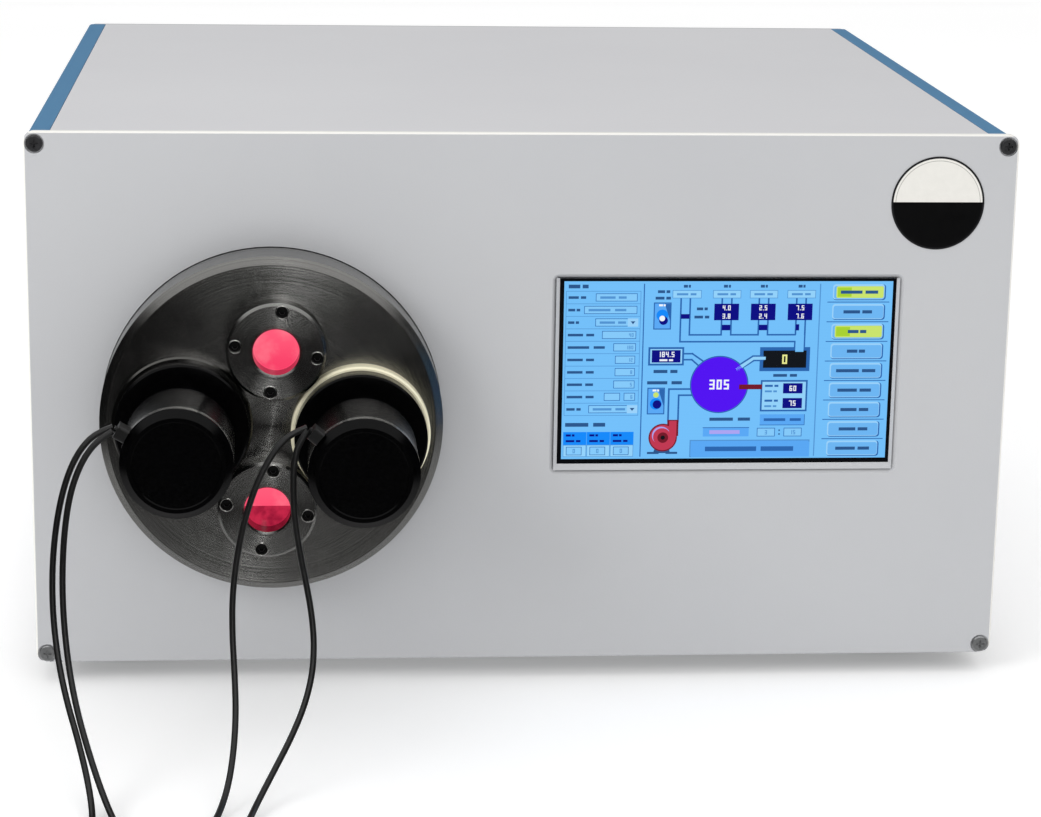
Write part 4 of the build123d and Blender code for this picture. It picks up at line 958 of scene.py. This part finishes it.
def lower_middle(picture):
    """The mode line, the elapsed time and the pale banner."""
    picture.label(68.0, 64.6, 86.8, 1.5)
    picture.box(65.2, 68.6, 86.4, 72.8, "banner", 2)
    picture.stroke([(65.2, 68.6), (86.4, 68.6)], 0.35, "line", 3)
    picture.box(68.2, 69.8, 82.2, 71.6, "lilac", 4)
    picture.framed(91.4, 62.4, 112.2, 67.6, "line", "banner", 0.3, 2)
    picture.box(91.4, 62.4, 111.9, 67.2, "banner", 4)
    picture.label(93.2, 64.9, 110.4, 1.3, "line", 5)
    for left, value in ((90.2, "3"), (102.6, "15")):
        picture.framed(left, 68.8, left + 8.4, 72.9, "line", "field", 0.3, 2)
        centred(picture, value, left + 4.2, 70.9, 2.0, "edge", 5)
    picture.box(100.2, 69.6, 100.9, 70.3, "ink", 3)
    picture.box(100.2, 71.4, 100.9, 72.1, "ink", 3)
    picture.framed(59.2, 74.4, 114.9, 82.6, "edge", "banner", 0.5, 2)
    picture.box(60.0, 75.4, 114.9, 82.6, "banner", 4)
    picture.label(66.4, 78.7, 107.4, 2.2, "line", 5, 0.05)


def button_column(picture):
    """Nine raised buttons, the first and the third lit green."""
    step = 9.2
    bars = ((126.4, 143.6), (128.0, 141.2), (130.4, 139.0), (130.4, 138.8), (125.8, 144.0),
            (126.8, 142.4), (128.6, 141.6), (128.2, 141.6), (127.0, 142.8))
    for row, (left, right) in enumerate(bars):
        top = 1.7 + step * row
        bottom = top + 6.7
        picture.rounded(123.0, top - 0.2, 147.2, bottom + 0.4, 1.3, "line", 2)
        picture.rounded(122.8, top - 0.3, 146.6, bottom, 1.3, "button_light", 3)
        picture.rounded(123.4, top + 0.5, 146.4, bottom - 0.3, 1.0, "button", 4)
        if row in (0, 2):
            picture.rounded(124.4, top + 0.6, 146.2, bottom - 0.6, 0.8, "lime", 5)
            picture.box(125.0, top + 1.2, 131.4, bottom - 1.2, "lime_deep", 6)
        picture.label(left, (top + bottom) / 2, right, 1.5, "ink", 7, 0.08)
        if row < 8:
            picture.stroke([(120.6, bottom + 1.3), (148.8, bottom + 1.3)], 0.4, "line", 2)


def add_screen():
    """The picture on the display, as one piece on the touch glass."""
    picture = Picture()
    picture.box(0, 0, lit_width / MM, lit_height / MM, "sky", 0)
    picture.stroke([(36.4, 1.4), (36.4, 82.0)], 0.5, "line", 2)
    picture.stroke([(117.0, 1.4), (117.0, 82.0)], 0.5, "edge", 2)
    settings_column(picture)
    gas_lines(picture)
    chamber_diagram(picture)
    pump_picture(picture)
    lower_middle(picture)
    button_column(picture)
    materials = [lit(name, screen_colours[name]) for name in colour_names]
    made = picture.piece("screen_picture", materials, "housing")
    turned_round = [polygon for polygon in made.data.polygons if polygon.normal.y > 0]
    if len(turned_round) > len(made.data.polygons) / 2:
        made.data.flip_normals()


add_screen()


# The pale slope between the panel and the touch glass
def add_screen_slope():
    """Four sloping strips inside the panel's screen opening."""
    outer, outer_y = (14.0, 100.2, 171.0, 190.2), panel_face_y + 0.3 * MM
    inner, inner_y = (15.7, 103.0, 169.7, 189.9), glass_face_y - 0.12 * MM
    corners = []
    for (left, low, right, high), y in ((outer, outer_y), (inner, inner_y)):
        for x, z in ((left, low), (right, low), (right, high), (left, high)):
            corners.append((x * MM, y, z * MM))
    shape = Shape()
    shape.add(corners, [[i, (i + 1) % 4, 4 + (i + 1) % 4, 4 + i] for i in range(4)])
    made = shape.piece("screen_slope", [finishes["panel_paint"]], "housing")


add_screen_slope()


# Bright rims of the viewport rings' screw seats
def screw_places():
    """Centre and radius of each viewport screw, from its own island of the mesh."""
    mesh = bmesh.new()
    mesh.from_mesh(nodes["viewport_screws"].data)
    bmesh.ops.remove_doubles(mesh, verts=mesh.verts, dist=0.01 * MM)
    waiting = set(mesh.verts)
    places = []
    while waiting:
        island = []
        edge = [waiting.pop()]
        while edge:
            vertex = edge.pop()
            island.append(nodes["viewport_screws"].matrix_world @ vertex.co)
            for link in vertex.link_edges:
                other = link.other_vert(vertex)
                if other in waiting:
                    waiting.remove(other)
                    edge.append(other)
        across = [point.x for point in island]
        up = [point.z for point in island]
        centre = ((min(across) + max(across)) / 2, (min(up) + max(up)) / 2)
        places.append((centre, (max(across) - min(across)) / 2))
    mesh.free()
    return sorted(places)


def add_screw_rims():
    """A thin polished rim round each viewport screw."""
    shape = Shape()
    for (x, z), radius in screw_places():
        place = facing_front(x, flange_low[1], z)
        head = radius / MM
        rim = [(head + 0.7, 0.0), (head + 0.5, 0.22), (head + 0.3, 0.22), (head + 0.2, 0.0)]
        shape.turned(place, ring_profile(rim), 48)
    made = shape.piece("screw_rims", [finishes["polished_steel"]], "door", True)


add_screw_rims()


# The round badge
def add_badge():
    """A two-tone round plate, pale above and black below, bare of any mark."""
    centre = (186.4 * MM, 224.7 * MM)
    radius = 21.3 * MM
    ring_width = 0.9 * MM
    thick = 0.35 * MM
    split = centre[1] + 0.5 * MM
    inner_line_radius = radius - 2.1 * MM
    inner_line_width = 0.3 * MM
    plate = Finish("badge_print", {"Specular IOR Level": 0.25})
    z = plate.axes()[2]
    radial = plate.polar(centre)[0]
    upper = plate.mix(plate.noise(300, 3), tone(222, 220, 214), tone(232, 230, 224))
    lower = plate.mix(plate.noise(300, 3), tone(2, 2, 3), tone(8, 8, 9))
    face = plate.mix(z > split, lower, upper)
    rim = plate.mix(radial > radius - ring_width, face, tone(30, 30, 32))
    on_line = (radial > inner_line_radius) * (radial < inner_line_radius + inner_line_width)
    inner_line = on_line * (z > split)
    plate.set("Base Color", plate.mix(inner_line * 0.6, rim, tone(120, 118, 114)))
    plate.set("Roughness", plate.noise(200, 2) * 0.12 + 0.25)
    shape = Shape()
    edge = [(radius, 0.0), (radius, thick * 0.6), (radius - 0.15 * MM, thick), (0.0, thick)]
    shape.turned(facing_front(centre[0], panel_face_y, centre[1]), edge, 96)
    made = shape.piece("round_badge", [plate.material], "housing", True)
    made.data.set_sharp_from_angle(angle=math.radians(30))


add_badge()


# Studio
def add_floor():
    """A wide pale floor, left out of reflections so that the steel mirrors a dark room."""
    bpy.ops.mesh.primitive_plane_add(size=14, location=(0, 0, 0))
    floor = bpy.context.object
    floor.name = "studio_floor"
    glow = {"Roughness": 0.9, "Emission Color": (1, 1, 1, 1), "Emission Strength": 0.18}
    finish = Finish("studio_floor", glow)
    finish.set("Base Color", finish.mix(finish.noise(2, 2), tone(246, 246, 246), tone(250, 250, 250)))
    floor.data.materials.append(finish.material)
    floor.visible_glossy = False


def add_soft_light(name, place, size, power):
    """A soft light aimed at the machine, left out of reflections."""
    target = Vector((0, 0, 0.1))
    light = bpy.data.lights.new(name, "AREA")
    light.shape = "RECTANGLE"
    light.size, light.size_y = size
    light.energy = power
    made = bpy.data.objects.new(name, light)
    bpy.context.scene.collection.objects.link(made)
    made.location = place
    made.rotation_euler = (target - Vector(place)).to_track_quat("-Z", "Y").to_euler()
    made.visible_glossy = False
    made.visible_camera = False


def add_room():
    """White to the eye, even grey as light, and a dark room with a few windows in reflections."""
    world = bpy.data.worlds.new("studio")
    bpy.context.scene.world = world
    world.use_nodes = True
    tree = world.node_tree
    tree.nodes.clear()
    room = Wiring(tree)
    x, y, z = room.parts(room.node("TexCoord", output="Generated"))

    def between(value, low, high, soft):
        rise = room.smooth(value, low - soft, low + soft)
        return rise * (1 - room.smooth(value, high - soft, high + soft))

    # Left, right, lower and upper edge, softness of the edges, and brightness
    windows = (
        (0.03, 0.13, 0.03, 0.75, 0.03, 4.4),
        (0.38, 0.6, 0.04, 0.3, 0.04, 0.7),
        (-0.24, -0.13, 0.12, 0.34, 0.03, 0.35),
    )
    front = room.smooth(-1 * y, 0.0, 0.3)
    ceiling = room.smooth(z, 0.45, 0.65)
    ground = room.smooth(-1 * z, 0.28, 0.5)
    level = ceiling * 0.9 + ground * 0.5 + 0.008
    for left, right, low, high, soft, brightness in windows:
        level = level + front * between(x, left, right, soft) * between(z, low, high, soft) * brightness
    white = (1, 1, 1, 1)
    seen, even, mirrored = (
        room.node("Background", {}, {"Color": white, "Strength": strength}) for strength in (1.0, 0.86, level)
    )
    path = room.node("LightPath")
    light = room.node("MixShader", {}, {0: path.output("Is Glossy Ray"), 1: even, 2: mirrored})
    both = room.node("MixShader", {}, {0: path.output("Is Camera Ray"), 1: light, 2: seen})
    tree.links.new(both.socket, tree.nodes.new("ShaderNodeOutputWorld").inputs[0])


add_floor()
add_room()
add_soft_light("ceiling_light", (0.0, -0.5, 1.9), (1.6, 1.2), 3.5)
add_soft_light("left_light", (-1.5, -1.3, 1.1), (0.9, 0.9), 11)
add_soft_light("right_light", (1.6, -1.4, 1.0), (0.9, 0.9), 0.2)
bpy.context.scene.view_settings.view_transform = "Standard"
bpy.context.scene.view_settings.look = "None"
